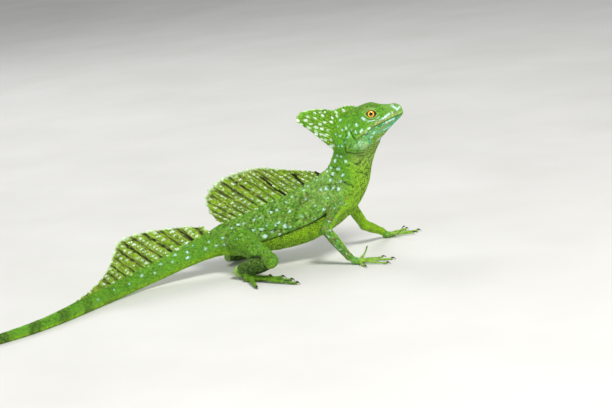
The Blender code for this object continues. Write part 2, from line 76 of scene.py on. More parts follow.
# Half depth of the tail: at the tip, what the taper adds, its power, what the root adds and how far.
TAIL_TIP, TAIL_GAIN, TAIL_TAPER = 0.9, 8.3, 1.35
TAIL_ROOT, TAIL_ROOT_REACH = 3.8, 22.0
# Half width as a share of that depth, what the root adds to the share, and how far.
TAIL_WIDTH, TAIL_ROOT_WIDTH, TAIL_WIDTH_REACH = 0.62, 0.3, 25.0
# Height of the tail's middle line as a share of its depth, and how far behind the vent it comes down.
TAIL_PRESS, TAIL_FALL = 0.94, 62.0
EYE_RADIUS = 5.3
CREST_SINK = 2.6  # how deep a crest's foot lies in the back
CLAW_LENGTH = 3.6
OVER_FLOOR = 0.02  # nothing lies lower

# x and z of the middle line, heading, half width, height above the line and below it.
TRUNK = (
    (55.0, 99.0, -10, 10.5, 12.0, 20.4),
    (50.5, 82.0, -7, 10.5, 17.0, 17.6),
    (44.5, 66.5, -3, 12.5, 19.6, 19.4),
    (34.0, 55.0, 0, 14.8, 21.0, 21.8),
    (17.0, 44.9, 0, 16.4, 22.4, 22.8),
    (-3.0, 38.0, 0, 17.4, 22.2, 23.0),
    (-25.0, 33.4, 0, 17.0, 20.2, 20.4),
    (-47.0, 30.2, 0, 14.4, 16.6, 16.6),
    (-64.0, 28.6, 0, 12.4, 13.8, 13.2),
)
NECK_ROOT, VENT = 2.6, 8.0  # stations, counted along the rows above
# The tail's heading in degrees at distances behind the vent.
TAIL_SWING = ((0, 2), (45, 12), (95, 34), (140, 44), (200, 36), (290, 4), (390, -34), (500, -62))

# Place along the head, top, half width and height of brow, cheek and jaw edge, then the bottom.
HEAD = (
    (0.8, 1.6, 1.0, 1.1, 1.4, 0.2, 1.0, -0.7, -1.1),
    (0.2, 4.0, 2.0, 3.2, 2.7, 0.2, 2.0, -1.7, -2.4),
    (-1.0, 5.8, 2.9, 4.8, 3.9, 0.2, 2.9, -3.0, -3.8),
    (-4.0, 7.8, 3.9, 6.8, 5.5, 0.2, 4.3, -4.7, -5.7),
    (-9.0, 8.6, 4.8, 7.6, 7.2, -1.0, 5.6, -7.0, -8.0),
    (-16.0, 10.5, 6.8, 9.9, 9.6, -2.4, 7.8, -10.2, -11.9),
    (-23.0, 13.9, 9.0, 13.3, 11.6, -3.4, 10.2, -13.6, -16.2),
    (-31.0, 14.2, 9.2, 13.4, 13.2, -4.6, 12.0, -16.8, -20.2),
    (-39.0, 14.6, 7.6, 11.8, 14.6, -7.0, 13.4, -19.4, -23.2),
    (-46.0, 14.2, 6.2, 10.0, 14.8, -9.4, 13.0, -20.4, -24.0),
    (-53.0, 11.6, 5.6, 6.6, 13.0, -10.4, 10.8, -19.0, -22.4),
    (-59.0, 6.0, 4.8, 2.0, 10.0, -10.2, 8.0, -16.8, -19.6),
    (-63.0, -0.5, 3.4, -3.4, 6.8, -10.0, 5.6, -14.6, -16.6),
)
# The head's own frame runs ahead, to the left and up from the tip of the snout.
SNOUT_TIP = Vector((95.4, -9.0, 118.6))
HEAD_PITCH, HEAD_YAW, HEAD_ROLL = 12.0, -10.0, 6.0
EYE_PLACE = Vector((-26.2, 6.8, 5.7))

# Head crest: where each line leaves the skull and where it ends, as (place along the head, height).
HEAD_CREST = (
    ((-35.0, 10.5), (-34.0, 14.6)),
    ((-39.0, 10.5), (-39.5, 17.2)),
    ((-43.0, 10.0), (-46.0, 19.0)),
    ((-46.5, 9.0), (-52.6, 18.4)),
    ((-49.0, 7.5), (-57.0, 18.8)),
    ((-51.5, 6.0), (-62.6, 21.8)),
    ((-53.5, 4.0), (-69.0, 23.9)),
    ((-55.0, 2.0), (-75.5, 25.3)),
    ((-56.5, 0.0), (-81.8, 25.4)),
    ((-57.5, -2.0), (-86.8, 23.0)),
    ((-58.5, -4.0), (-88.0, 18.6)),
    ((-59.5, -6.0), (-84.8, 14.6)),
    ((-60.5, -8.0), (-80.2, 9.2)),
    ((-61.0, -10.0), (-76.0, 3.0)),
    ((-61.5, -12.0), (-72.0, -3.4)),
    ((-62.0, -14.0), (-68.0, -9.6)),
    ((-62.0, -16.0), (-65.5, -14.5)),
)
# Share of the way along the crest, the ray's length, and its tilt above the body's line.
BACK_CREST = ((0, 7, 66), (0.12, 22, 62), (0.3, 37, 58), (0.5, 44, 53), (0.68, 46, 46), (0.82, 38, 40),
              (0.92, 25, 34), (1, 9, 30))
BACK_CREST_SPAN, BACK_RAYS = (2.75, 7.9), 17
TAIL_CREST = ((0, 8, 58), (0.12, 24, 56), (0.26, 37, 54), (0.38, 40, 52), (0.5, 31, 48), (0.65, 18, 43),
              (0.83, 9, 37), (1, 4, 30))
TAIL_CREST_SPAN, TAIL_RAYS = (8.9, 20.5), 16

# Of each limb: root, elbow or knee, and wrist or ankle, each as x, distance to its side and z; then the
# place of palm or sole, and its heading in degrees.
LIMBS = {
    "right": {
        "side": RIGHT,
        "arm": ((36.0, 9.0, 50.0), (13.5, 33.0, 31.5), (30.0, 38.0, 7.0)),
        "leg": ((-56.0, 5.0, 28.0), (-40.0, 55.0, 18.0), (-63.0, 27.0, 6.4)),
        "hand": {"palm": (36.5, 39.5), "heading": -4.0},
        "foot": {"palm": (-56.0, 42.0), "heading": -36.0},
    },
    "left": {
        "side": LEFT,
        "arm": ((42.5, 8.0, 47.0), (60.5, 21.0, 17.8), (78.5, 34.0, 7.0)),
        "leg": ((-56.0, 5.0, 28.0), (-34.0, 54.0, 19.0), (-60.0, 28.0, 6.6)),
        "hand": {"palm": (84.5, 37.0), "heading": 2.0},
        "foot": {"palm": (-51.0, 42.0), "heading": 28.0},
    },
}
# Digits: degrees outwards from the heading, length, and how far the tip is held up.
FINGERS = ((-50, 14.0, 7.5), (-15, 21.0, 0.5), (9, 27.0, 0.0), (38, 25.0, 0.0), (80, 14.0, 0.0))
TOES = ((-44, 14.0, 0.0), (-22, 24.0, 0.0), (-4, 34.0, 0.0), (14, 44.0, 0.0), (58, 25.0, 0.0))
WRIST_SHARES = (2.1, 1.9, 1.5)  # the wrist's radii in radii of a digit
# Nodes of the three parts, radii of the two segments, digits, a digit's radius, half sizes of the pad.
LIMB_KINDS = {
    "arm": (
        ("upper_arm", "forearm", "hand"), ((6.8, 5.4, 4.3), (4.2, 4.6, 3.3)), FINGERS, 1.35, (5.2, 4.6, 2.6)
    ),
    "leg": (("thigh", "shank", "foot"), ((10.5, 9.6, 6.4), (5.8, 7.6, 4.4)), TOES, 1.6, (6.2, 4.6, 2.8)),
}

# ---------------------------------------------------------------- details of the skin

# The mouth line, as place along the head and height.
MOUTH = ((-49.0, -12.4), (-44.0, -10.8), (-39.3, -8.9), (-34.0, -7.0), (-29.0, -5.2), (-24.0, -4.4),
         (-17.0, -3.7), (-10.0, -2.9), (-5.0, -2.6), (-1.5, -2.5), (1.2, -2.3))
EYE_OPENING = {"centre": (-26.1, 6.0), "tilt": -16.0, "half_length": 4.6, "half_height": 2.85}
EYE_GAZE = (-0.05, 1.0, 0.07)
NOSTRIL = Vector((-5.3, 4.0, 6.3))
EARDRUM = {"centre": (-48.6, -4.9), "half": (1.8, 3.2)}
CANTHUS = ((-36.0, 10.8), (-30.0, 12.6), (-23.0, 12.4), (-16.0, 9.0), (-9.0, 6.9), (-4.0, 6.6))
# Creases of the head: depth, half width, least distance from its middle, and the line each follows.
FACE_CREASES = (
    (0.8, 1.2, -1, (-55.0, -7.0), (-56.0, -20.0)), (0.6, 1.0, 2, (-54.5, -20.4), (-36.0, -21.6)),
    (0.3, 0.8, -1, (-47.5, -13.0), (-39.0, -11.0)),
)

# Small marks of the face: layer, strength, half width, and the line each follows, as place along
# the head and height.
FACE_MARKS = (
    ("pale", 0.95, 0.8, (-40.6, 1.9), (-40.8, 0.5)), ("pale", 0.8, 0.7, (-43.0, -3.4), (-43.4, -4.8)),
    ("pale", 1.0, 0.85, (-37.6, -4.2), (-39.4, -5.4)), ("pale", 0.8, 0.7, (-49.8, 1.9), (-50.0, 0.6)),
    ("pale", 0.6, 0.5, (-46.3, 3.2), (-46.5, 2.0)), ("pale", 0.55, 0.5, (-45.6, -1.0), (-45.8, -1.9)),
    ("pale", 0.95, 1.0, (-34.3, 5.2), (-32.9, 3.5)), ("pale", 0.6, 0.4, (-31.6, 2.2), (-28.0, 0.6)),
    ("pale", 0.8, 0.5, (-31.4, 1.0), (-25.0, 0.0)), ("pale", 0.6, 0.4, (-25.0, 0.0), (-20.6, 1.6)),
    ("pale", 1.0, 0.75, (-7.2, 7.1), (-5.2, 4.6)), ("pale", 1.0, 0.8, (-5.2, 4.6), (-3.7, 2.2)),
    ("pale", 0.9, 0.7, (-3.7, 2.2), (-1.3, 3.5)), ("pale", 0.75, 0.6, (-8.9, 1.6), (-8.5, 0.5)),
    ("pale", 1.0, 0.95, (-15.6, -0.1), (-11.6, 1.1)), ("pale", 0.8, 0.75, (-20.2, -1.8), (-17.2, -0.8)),
    ("pale", 0.95, 0.6, (-24.9, -2.2), (-24.0, -1.4)), ("pale", 0.85, 0.55, (-27.5, -4.0), (-26.5, -3.3)),
    ("pale", 0.8, 0.55, (-31.4, -5.0), (-30.5, -4.6)), ("pale", 0.85, 0.6, (-35.6, -8.0), (-34.4, -7.5)),
    ("blush", 0.8, 0.6, (-7.8, 0.4), (-5.6, 1.4)), ("blush", 0.7, 0.5, (-16.5, -1.9), (-9.8, -0.9)),
    ("blush", 0.65, 0.5, (-22.6, -2.8), (-18.2, -2.3)), ("blush", 0.75, 0.45, (-7.9, -5.0), (-16.5, -6.4)),
    ("blush", 0.55, 0.4, (-16.5, -6.4), (-22.8, -8.6)),
    ("blush", 0.85, 0.7, (-25.2, -12.1), (-26.3, -12.8)),
    ("turquoise", 1.0, 1.1, (-6.0, -3.4), (-9.5, -3.9), (-16.2, -5.0), (-21.5, -6.6)),
    ("turquoise", 1.0, 1.5, (-5.6, -4.9), (-13.0, -9.0), (-20.9, -10.2), (-25.4, -10.4)),
    ("pale", 0.55, 0.55, (-9.5, -3.7), (-15.6, -4.9)), ("pale", 0.5, 0.5, (-13.4, -9.3), (-20.0, -10.0)),
    ("pale", 0.8, 0.6, (-23.7, -15.4), (-28.8, -17.2)), ("pale", 0.7, 0.7, (-31.7, -12.3), (-33.6, -13.1)),
    ("pale", 0.6, 0.6, (-27.4, -9.0), (-30.4, -10.2)),
    ("turquoise", 0.75, 3.0, (-36.0, -16.0), (-41.6, -18.2)),
    ("cream", 0.75, 2.6, (-38.4, -17.0), (-41.4, -18.6)),
    ("pale", 0.7, 0.5, (-42.4, -12.8), (-44.4, -14.2)), ("pale", 0.6, 0.5, (-46.2, -14.4), (-48.2, -16.0)),
    ("pale", 0.6, 0.5, (-40.4, -13.6), (-43.8, -16.4)), ("pale", 0.75, 0.55, (-48.4, -2.4), (-49.6, -5.8)),
    # The dark lines at the ear drum's edges, behind the mouth's corner, under the jaw's edge and behind the
    # jaw are painted shade of the creases there.
    ("dark", 0.75, 0.5, (-47.3, -2.6), (-45.9, -9.6)), ("dark", 0.55, 0.4, (-51.4, -1.0), (-51.8, -8.6)),
    ("dark", 0.6, 0.35, (-36.6, -9.0), (-33.0, -7.6)), ("dark", 0.55, 0.4, (-49.8, -12.6), (-53.6, -16.0)),
    ("dark", 0.7, 0.6, (-55.4, -18.4), (-49.8, -21.7)), ("dark", 0.6, 0.55, (-49.8, -21.7), (-41.6, -23.4)),
    ("dark", 0.55, 0.6, (-54.6, -7.0), (-56.0, -18.4)),
    ("yellow", 0.75, 1.1, (-54.4, -14.0), (-54.2, -19.0)),
    ("yellow", 0.7, 0.9, (-53.0, -20.4), (-44.0, -23.8)), ("dark", 0.65, 0.35, (-29.9, 2.5), (-25.3, 1.2)),
    ("dark", 0.45, 0.4, (-28.4, 13.2), (-23.0, 12.6), (-17.9, 10.6)),
    ("dark", 0.45, 0.4, (-17.6, 10.2), (-15.3, 6.0)),
    ("cream", 0.5, 0.5, (-33.0, 9.6), (-27.0, 11.2), (-21.0, 9.2)),
)

# The fold between flank and belly, the crease above it and the one on the nape, each as station and
# height in degrees above the side's middle.
FLANK_FOLD = ((3.2, -2.0), (3.9, -10.0), (4.4, -14.0), (5.35, -14.0), (6.25, -18.0), (7.2, -22.0))
FLANK_CREASE = ((5.4, -8.0), (5.95, 1.0), (6.6, 10.0))
NAPE_CREASE = ((2.2, 6.0), (2.8, 30.0), (3.35, 52.0))

# Pale spots: station and degrees above the side's middle, in rows from the crest down.
BODY_SPOTS = (
    (4.90, 65), (5.25, 58), (5.70, 48), (5.95, 50), (6.40, 47), (6.65, 48), (7.10, 48), (7.40, 50),
    (7.75, 46), (3.95, 74), (4.25, 69), (3.55, 42), (3.30, 36), (3.02, 26), (2.86, 14), (3.00, 66),
    (3.38, 76), (2.75, 44), (2.40, 20), (3.55, 17), (4.40, 42), (4.20, 17), (4.90, 11), (5.25, 32),
    (5.80, 17), (5.97, 14), (6.30, 19), (6.52, 15), (6.82, 18), (7.02, 14), (3.95, -1), (4.45, -7),
    (5.45, -3), (5.63, 4), (6.15, 1), (5.92, -10), (6.45, -6), (6.72, -8), (7.35, 10), (7.60, 26),
    (8.00, 4), (8.40, 24), (8.45, -2), (9.00, 3), (9.35, 34), (9.75, 8), (10.35, 52), (10.75, 70),
    (10.90, 34), (11.05, 4), (11.70, 56), (12.1, 22), (12.9, 44), (13.6, 14), (14.6, 36), (15.8, 20),
    (17.2, 34), (18.9, 18), (0.95, 58), (0.97, 41), (1.15, 22), (1.25, 60), (1.62, 40), (1.75, 66),
    (1.95, 22), (2.2, 48), (2.25, 74),
)
# Pale spots of the arms: 0 for the upper arm or 1 for the forearm, share of the way down, and degrees
# forward of its outer side.
ARM_SPOTS = (
    (0, 0.16, 35), (0, 0.24, -8), (0, 0.42, -35), (0, 0.66, 48), (0, 0.82, -20), (1, 0.08, 26),
    (1, 0.17, -38), (1, 0.41, 2), (1, 0.5, -50), (1, 0.67, -42), (1, 0.72, 22), (1, 0.88, -8),
)
# Pale spots of the head: place along it, and height.
HEAD_SPOTS = (
    (-56.1, 4.6), (-52.4, 8.9), (-59.7, -1.3), (-56.6, -3.5), (-60.8, -11.2), (-58.0, -12.4),
    (-54.5, -9.5), (-53.6, 0.6), (-51.2, -6.4),
)
# Pale spots of the head crest: place along its edge, counted in lines, and share of the height.
HEAD_CREST_SPOTS = (
    (9.6, 0.95), (8.2, 0.79), (6.8, 0.82), (6.1, 0.79), (5.4, 0.78), (7.75, 0.64), (6.45, 0.63),
    (9.05, 0.77), (9.3, 0.64), (8.5, 0.45), (7.55, 0.4), (9.6, 0.52), (9.45, 0.38), (9.2, 0.25),
    (10.8, 0.77), (11.6, 0.67), (11.8, 0.53), (11.65, 0.4), (11.1, 0.3), (13.65, 0.88), (13.35, 0.62),
    (12.3, 0.22), (14.2, 0.3), (3.65, 0.77), (4.3, 0.46), (5.5, 0.42), (6.6, 0.3), (12.6, 0.85),
    (10.4, 0.92), (14.9, 0.7), (2.4, 0.6),
)
# Black streaks of the back crest: from and to, each as place in rays and share of the height.
BLACK_STREAKS = (
    ((6.84, 0.67), (7.12, 0.3), 0.13), ((7.12, 0.3), (6.95, 0.0), 0.17), ((2.8, 0.68), (3.5, 0.3), 0.2),
    ((3.4, 0.4), (3.85, 0.08), 0.17), ((0.12, 0.88), (0.75, 0.12), 0.2),
)


# ---------------------------------------------------------------- shared tools


def paint(red, green, blue):
    """A colour given as 0 to 255 on a screen, as the linear values that Blender's sockets take."""
    linear = []
    for value in (red, green, blue):
        share = value / 255
        linear.append(share / 12.92 if share <= 0.04045 else ((share + 0.055) / 1.055) ** 2.4)
    return tuple(linear)


def blend(rows, at):
    """Values of a table between its rows, by a smooth curve. A row's first column is its place."""
    at = min(max(at, rows[0][0]), rows[-1][0])
    k = next(i for i in range(len(rows) - 1) if at <= rows[i + 1][0])
    before, start, end, after = (rows[min(max(i, 0), len(rows) - 1)] for i in (k - 1, k, k + 1, k + 2))
    span = end[0] - start[0]
    t = (at - start[0]) / span
    found = []
    for col in range(1, len(start)):
        m0 = (end[col] - before[col]) / ((end[0] - before[0]) or span) * span
        m1 = (after[col] - start[col]) / ((after[0] - start[0]) or span) * span
        found.append(
            (2 * t**3 - 3 * t**2 + 1) * start[col]
            + (t**3 - 2 * t**2 + t) * m0
            + (3 * t**2 - 2 * t**3) * end[col]
            + (t**3 - t**2) * m1
        )
    return found


CURVE_STEPS = 240


def curve(rows, at):
    """The same smooth curve through a table, for an array of places. The table has two columns."""
    low, high = rows[0][0], rows[-1][0]
    fine = np.linspace(low, high, CURVE_STEPS + 1)
    return np.interp(at, fine, [blend(rows, x)[0] for x in fine])


def ramp(low, high, value):
    """0 below low, 1 above high, and a smooth step between. low may be the larger one."""
    t = np.clip((np.asarray(value, float) - low) / (high - low), 0, 1)
    return t * t * (3 - 2 * t)


def bump(value, width=1.0):
    """A round hump of height 1 where value is 0."""
    return np.exp(-((value / width) ** 2))


def within(value, start, full, fade, end):
    """1 from full to fade, 0 before start and after end, and a smooth step between."""
    return ramp(start, full, value) * ramp(end, fade, value)


def rough(points, size, seed=0):
    """A smooth random value from -1 to 1 in space, with a bump about every size."""
    place = points / size + seed * 17.31
    cell = np.floor(place)
    share = place - cell
    share = share * share * (3 - 2 * share)
    total = 0
    for corner in np.ndindex(2, 2, 2):
        x, y, z = (cell + corner).T
        number = np.sin(x * 127.1 + y * 311.7 + z * 74.7) * 43758.5453
        weight = np.where(corner, share, 1 - share).prod(1)
        total = total + weight * (2 * (number - np.floor(number)) - 1)
    return total


def unit(vectors):
    """The same directions with length 1."""
    return vectors / np.maximum(np.linalg.norm(vectors, axis=-1, keepdims=True), 1e-12)


def dot(a, b):
    """The scalar product of each pair of vectors."""
    return (a * b).sum(-1)


def above_line(place, height, line):
    """Height above a line, which is given as rows of place and height."""
    return height - np.interp(place, *np.array(line).T)


def inset(share):
    """A share of the unwrap, kept a little off its edges."""
    return 0.01 + 0.98 * share


HEAD_TURN = (
    Matrix.Rotation(math.radians(HEAD_YAW), 3, "Z")
    @ Matrix.Rotation(math.radians(-HEAD_PITCH), 3, "Y")
    @ Matrix.Rotation(math.radians(-HEAD_ROLL), 3, "X")
)
HEAD_AXES = np.array(HEAD_TURN)


def head_point(a, side, c):
    """A point of the head's own frame in the animal's."""
    return SNOUT_TIP + HEAD_TURN @ Vector((a, side, c))


def head_points(local):
    """The same for an array of points."""
    return np.asarray(local, float) @ HEAD_AXES.T + np.array(SNOUT_TIP)


def head_local(points):
    """Points of the animal's frame in the head's own."""
    return (points - np.array(SNOUT_TIP)) @ HEAD_AXES


def frame_offset():
    """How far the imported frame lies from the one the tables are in, from the two eyes."""
    found = []
    for name, side in SIDES.items():
        low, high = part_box(f"eye_{name}")
        found.append((low + high) / 2 - head_point(EYE_PLACE.x, side * EYE_PLACE.y, EYE_PLACE.z) * MM)
    return (found[0] + found[1]) / 2


OFFSET = frame_offset()
OFFSET.z = 0.0


def to_frame(points):
    """Points of the tables' frame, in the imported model's and in metres."""
    return np.asarray(points, float) * MM + np.array(OFFSET)


def from_frame(points):
    """The other way round."""
    return (np.asarray(points, float) - np.array(OFFSET)) / MM


# ---------------------------------------------------------------- neck, trunk and tail


def tail_depth(s):
    """Half depth of the tail at a distance behind the vent."""
    taper = TAIL_GAIN * (1 - s / TAIL_LENGTH) ** TAIL_TAPER
    return TAIL_TIP + taper + TAIL_ROOT * math.exp(-s / TAIL_ROOT_REACH)


def spine_table():
    """Rows of (station, x, y, z, heading, half width, above, below) from skull to tail tip."""
    rows = [(i, x, 0.0, z, heading, *sizes) for i, (x, z, heading, *sizes) in enumerate(TRUNK)]
    x, y, vent_height = rows[-1][1:4]
    fall = vent_height - tail_depth(0) * TAIL_PRESS
    for k in range(1, round(TAIL_LENGTH / TAIL_STATION) + 1):
        s = k * TAIL_STATION
        swing = blend(TAIL_SWING, s - TAIL_STATION / 2)[0]
        x -= TAIL_STATION * math.cos(math.radians(swing))
        y -= TAIL_STATION * math.sin(math.radians(swing))
        depth = tail_depth(s)
        width = depth * (TAIL_WIDTH + TAIL_ROOT_WIDTH * math.exp(-s / TAIL_WIDTH_REACH))
        z = depth * TAIL_PRESS + fall * math.exp(-((s / TAIL_FALL) ** 2))
        rows.append((VENT + k, x, y, z, blend(TAIL_SWING, s)[0], width, depth, depth))
    return rows


SPINE = spine_table()
LAST_STATION = SPINE[-1][0]


def spine_frame(station):
    """Middle point, direction towards the head, left, and up towards the back."""
    x, y, z, heading = blend(SPINE, station)[:4]
    ahead = Vector(blend(SPINE, station - 0.15)[:3])
    behind = Vector(blend(SPINE, station + 0.15)[:3])
    along = (ahead - behind).normalized()
    turn = math.radians(heading)
    left = Vector((-math.sin(turn), math.cos(turn), 0))
    left = (left - along * left.dot(along)).normalized()
    return Vector((x, y, z)), along, left, along.cross(left)


class Body:
    """Neck, trunk and tail as one tube, and the place of any point on it."""

    STEP = 0.05
    FULL_ABOVE, FULL_BELOW = 1.12, 0.9  # narrow along the back, full at the belly

    def __init__(self):
        self.at = np.arange(0, LAST_STATION + 1e-9, self.STEP)
        frames = [spine_frame(s) for s in self.at]
        self.mid, self.along, self.left, self.up = (np.array([f[i] for f in frames]) for i in range(4))
        self.size = np.array([blend(SPINE, s)[4:] for s in self.at])
        pace = np.linalg.norm(np.gradient(self.mid, axis=0), axis=1) / self.STEP
        self.pace = pace
        self.length = np.concatenate([[0], np.cumsum((pace[1:] + pace[:-1]) / 2 * self.STEP)])

    def take(self, values, station):
        """Values between the fine stations, for an array of stations."""
        if values.ndim == 1:
            return np.interp(station, self.at, values)
        return np.stack([np.interp(station, self.at, column) for column in values.T], -1)

    def surface(self, station, angle, grow=0.0):
        """Points of the tube. The angle is in radians, from the left over the back."""
        half, above, below = (self.take(self.size, station) + grow).T
        across, height = np.cos(angle), np.sin(angle)
        full = np.where(height > 0, self.FULL_ABOVE, self.FULL_BELOW)
        across = np.sign(across) * np.abs(across) ** full
        ridge = 1.5 * self.ridge(station) * bump(across * half, 1.5) * (height > 0)
        rise = height * np.where(height > 0, above, below) + ridge
        return (
            self.take(self.mid, station)
            + self.take(self.left, station) * (half * across)[:, None]
            + self.take(self.up, station) * rise[:, None]
        )

    @staticmethod
    def ridge(station):
        """How strongly a low ridge of skin carries the crest."""
        return ramp(2.0, 3.0, station) * ramp(24.0, 19.0, station)

    def place(self, points):
        """Station, angle, and distance outside the tube for each point."""
        near = slice(None, None, 8)
        gap = ((points[:, None, :] - self.mid[None, near]) ** 2).sum(-1)
        s = self.at[near][gap.argmin(1)]
        for _ in range(5):
            step = dot(points - self.take(self.mid, s), self.take(self.along, s))
            s = np.clip(s - 0.8 * step / self.take(self.pace, s), 0, LAST_STATION)
        away = points - self.take(self.mid, s)
        x, y = dot(away, self.take(self.left, s)), dot(away, self.take(self.up, s))
        half, above, below = self.take(self.size, s).T
        tall = np.where(y > 0, above + 1.5 * self.ridge(s) * bump(x, 1.5), below)
        full = np.where(y > 0, self.FULL_ABOVE, self.FULL_BELOW)
        grown = np.hypot(x / half, y / tall) + 1e-6
        for _ in range(4):
            grown = np.sqrt(
                (np.abs(x) / half) ** (2 / full) * grown ** (2 - 2 / full) + (y / tall) ** 2
            ) + 1e-6
        out = (1 - 1 / grown) * np.hypot(x, y)
        across = (np.abs(x) / (grown * half)) ** (1 / full) * np.sign(x)
        beyond = np.abs(dot(away, self.take(self.along, s)))
        ends = (s <= 0) | (s >= LAST_STATION)
        out = np.where(ends, np.hypot(np.maximum(out, 0), beyond), out)
        return s, np.arctan2(y / (grown * tall), across), out


# ---------------------------------------------------------------- head


class Head:
    """The head as one tube, and the place of any point on it."""

    RINGS, COLUMNS, TURNS = 129, 48, 91  # along the head, and from top to bottom on one side

    def __init__(self):
        self.a = np.linspace(HEAD[0][0], HEAD[-1][0], self.RINGS)
        self.half = np.array([self.half_ring(a) for a in self.a])  # (RINGS, COLUMNS + 1, 2)
        steps = np.linalg.norm(np.diff(self.half, axis=1), axis=2)
        arc = np.concatenate([np.zeros((len(self.a), 1)), np.cumsum(steps, 1)], 1)
        self.arc = arc / arc[:, -1:]
        self.middle = (self.half[:, 0, 1] + self.half[:, -1, 1]) / 2
        self.turns = np.linspace(-math.pi / 2, math.pi / 2, self.TURNS)
        self.radius = []
        for ring, middle in zip(self.half, self.middle):
            turn = np.arctan2(ring[:, 1] - middle, ring[:, 0])
            order = turn.argsort()
            self.radius.append(
                np.interp(self.turns, turn[order], np.hypot(ring[:, 0], ring[:, 1] - middle)[order])
            )
        self.radius = np.array(self.radius)

    def half_ring(self, a):
        """Points of the left half of one ring, from top to bottom."""
        rows = [(-row[0], *row[1:]) for row in HEAD]
        top, brow, brow_c, cheek, cheek_c, jaw, jaw_c, bottom = blend(rows, -a)
        half = [(0.0, 0.0, top), (0.25, brow, brow_c), (0.5, cheek, cheek_c), (0.75, jaw, jaw_c),
                (1.0, 0.0, bottom)]
        half = [(-0.25, -half[1][1], half[1][2]), *half, (1.25, -half[3][1], half[3][2])]
        return [
            (max(x, 0.0), c) for x, c in (blend(half, k / self.COLUMNS) for k in range(self.COLUMNS + 1))
        ]

    def between(self, table, a):
        """Rows of a table at an array of places along the head."""
        k = np.clip((self.a[0] - a) / (self.a[0] - self.a[-1]) * (len(self.a) - 1), 0, len(self.a) - 1.001)
        low = k.astype(int)
        t = (k - low).reshape(-1, *[1] * (table.ndim - 1))
        return table[low] * (1 - t) + table[low + 1] * t

    def surface(self, a, share):
        """Points in the head's frame. The share runs 0 to 1 down the left side and on to 2 up the right."""
        side = np.where(share <= 1, 1, -1)
        k = np.clip(np.where(share <= 1, share, 2 - share), 0, 0.99999) * self.COLUMNS
        low = k.astype(int)
        rows = self.between(self.half, a)
        index = np.arange(len(a))
        t = (k - low)[:, None]
        found = rows[index, low] * (1 - t) + rows[index, low + 1] * t
        return np.stack([a, side * found[:, 0], found[:, 1]], -1)

    def outside(self, local):
        """Distance outside the head for points in its frame."""
        a, side, c = local.T
        inside = np.clip(a, self.a[-1], self.a[0])
        middle = self.between(self.middle, inside)
        reach = np.hypot(side, c - middle)
        turn = np.arctan2(c - middle, np.abs(side))
        rows = self.between(self.radius, inside)
        k = np.clip((turn + math.pi / 2) / math.pi * (len(self.turns) - 1), 0, len(self.turns) - 1.001)
        low = k.astype(int)
        index = np.arange(len(a))
        radius = rows[index, low] * (1 - (k - low)) + rows[index, low + 1] * (k - low)
        out = reach - radius
        beyond = np.maximum(a - self.a[0], self.a[-1] - a)
        return np.hypot(np.maximum(out, 0), np.maximum(beyond, 0)) + np.minimum(np.maximum(out, beyond), 0)


# ---------------------------------------------------------------- limbs and digits


class Tube:
    """A round tube along a line of points, with a radius at each."""

    def __init__(self, path, radius):
        self.path, self.radius = np.asarray(path, float), np.asarray(radius, float)
        self.length = np.concatenate([[0], np.cumsum(np.linalg.norm(np.diff(self.path, axis=0), axis=1))])
        ahead = unit(np.gradient(self.path, axis=0))
        side = unit(np.cross(ahead, np.array([0, 0, 1.0]) + ahead * 1e-3))
        self.frame = ahead, side, np.cross(side, ahead)

    def rings(self, sides, grow=0.0):
        """Rings of points, with a rounded cap at both ends."""
        ahead, side, up = self.frame
        turns = np.linspace(0, 2 * math.pi, sides, endpoint=False)
        circle = np.cos(turns)[:, None, None] * side + np.sin(turns)[:, None, None] * up
        rings = [self.path[k] + circle[:, k] * (self.radius[k] + grow) for k in range(len(self.path))]
        for end, sign in ((0, -1), (-1, 1)):
            radius = self.radius[end] + grow
            cap = [
                self.path[end] + ahead[end] * sign * radius * t
                + circle[:, end] * radius * math.sqrt(1 - t * t)
                for t in (0.4, 0.7, 0.9, 0.99)
            ]
            rings = [*cap[::-1], *rings] if end == 0 else [*rings, *cap]
        return np.array(rings)

    def place(self, points):
        """Distance along the tube, and distance outside it."""
        best = np.full(len(points), 1e9)
        along = np.zeros(len(points))
        for k in range(len(self.path) - 1):
            start, run = self.path[k], self.path[k + 1] - self.path[k]
            t = np.clip((points - start) @ run / (run @ run), 0, 1)
            out = np.linalg.norm(points - start - t[:, None] * run, axis=1)
            out -= self.radius[k] * (1 - t) + self.radius[k + 1] * t
            closer = out < best
            best = np.where(closer, out, best)
            along = np.where(closer, self.length[k] + t * math.sqrt(run @ run), along)
        return along, best

    def at(self, length):
        """Middle, direction, side and up at places along the tube."""
        return [
            np.stack([np.interp(length, self.length, column) for column in table.T], -1)
            for table in (self.path, *self.frame)
        ]


def segment(start, end, radii):
    """A limb segment, thickest where its muscle is."""
    start, end = np.array(start), np.array(end)
    first, belly, last = radii
    shape = ((0.0, first), (0.35, belly), (0.7, (belly + last) / 2), (1.0, last))
    shares = np.linspace(0, 1, 25)
    return Tube([start + (end - start) * t for t in shares], [blend(shape, t)[0] for t in shares])


def digit_path(centre, heading, fan_angle, length, held_up, radius, start):
    """Middle line of a finger or toe: out of the pad, over the knuckle and down to the floor."""
    turn = math.radians(heading + fan_angle)
    out = Vector((math.cos(turn), math.sin(turn), 0))
    bend = Vector((-out.y, out.x, 0)) * math.copysign(0.05 * length, -fan_angle)
    rise = radius * 0.9
    line = ((0.0, 2.4), (0.3, rise + 1.3), (0.62, rise + 0.5), (0.85, rise), (1.0, rise))
    path = []
    for k in range(6):
        share = k / 5
        lift = blend(line, share)[0] + held_up * share**2
        place = Vector(centre) + out * (start + length * share) + bend * share**2
        path.append(Vector((place.x, place.y, lift)))
    return path


def digit(path, radius):
    """A thin tube along the digit's line, swollen at its joints."""
    rows = [(k / 5, *point) for k, point in enumerate(path)]
    shares = np.linspace(0, 1, 31)
    sizes = [radius * (1.12 - 0.42 * s + 0.1 * math.cos(s * 4 * math.pi)) for s in shares]
    return Tube([blend(rows, s) for s in shares], sizes)


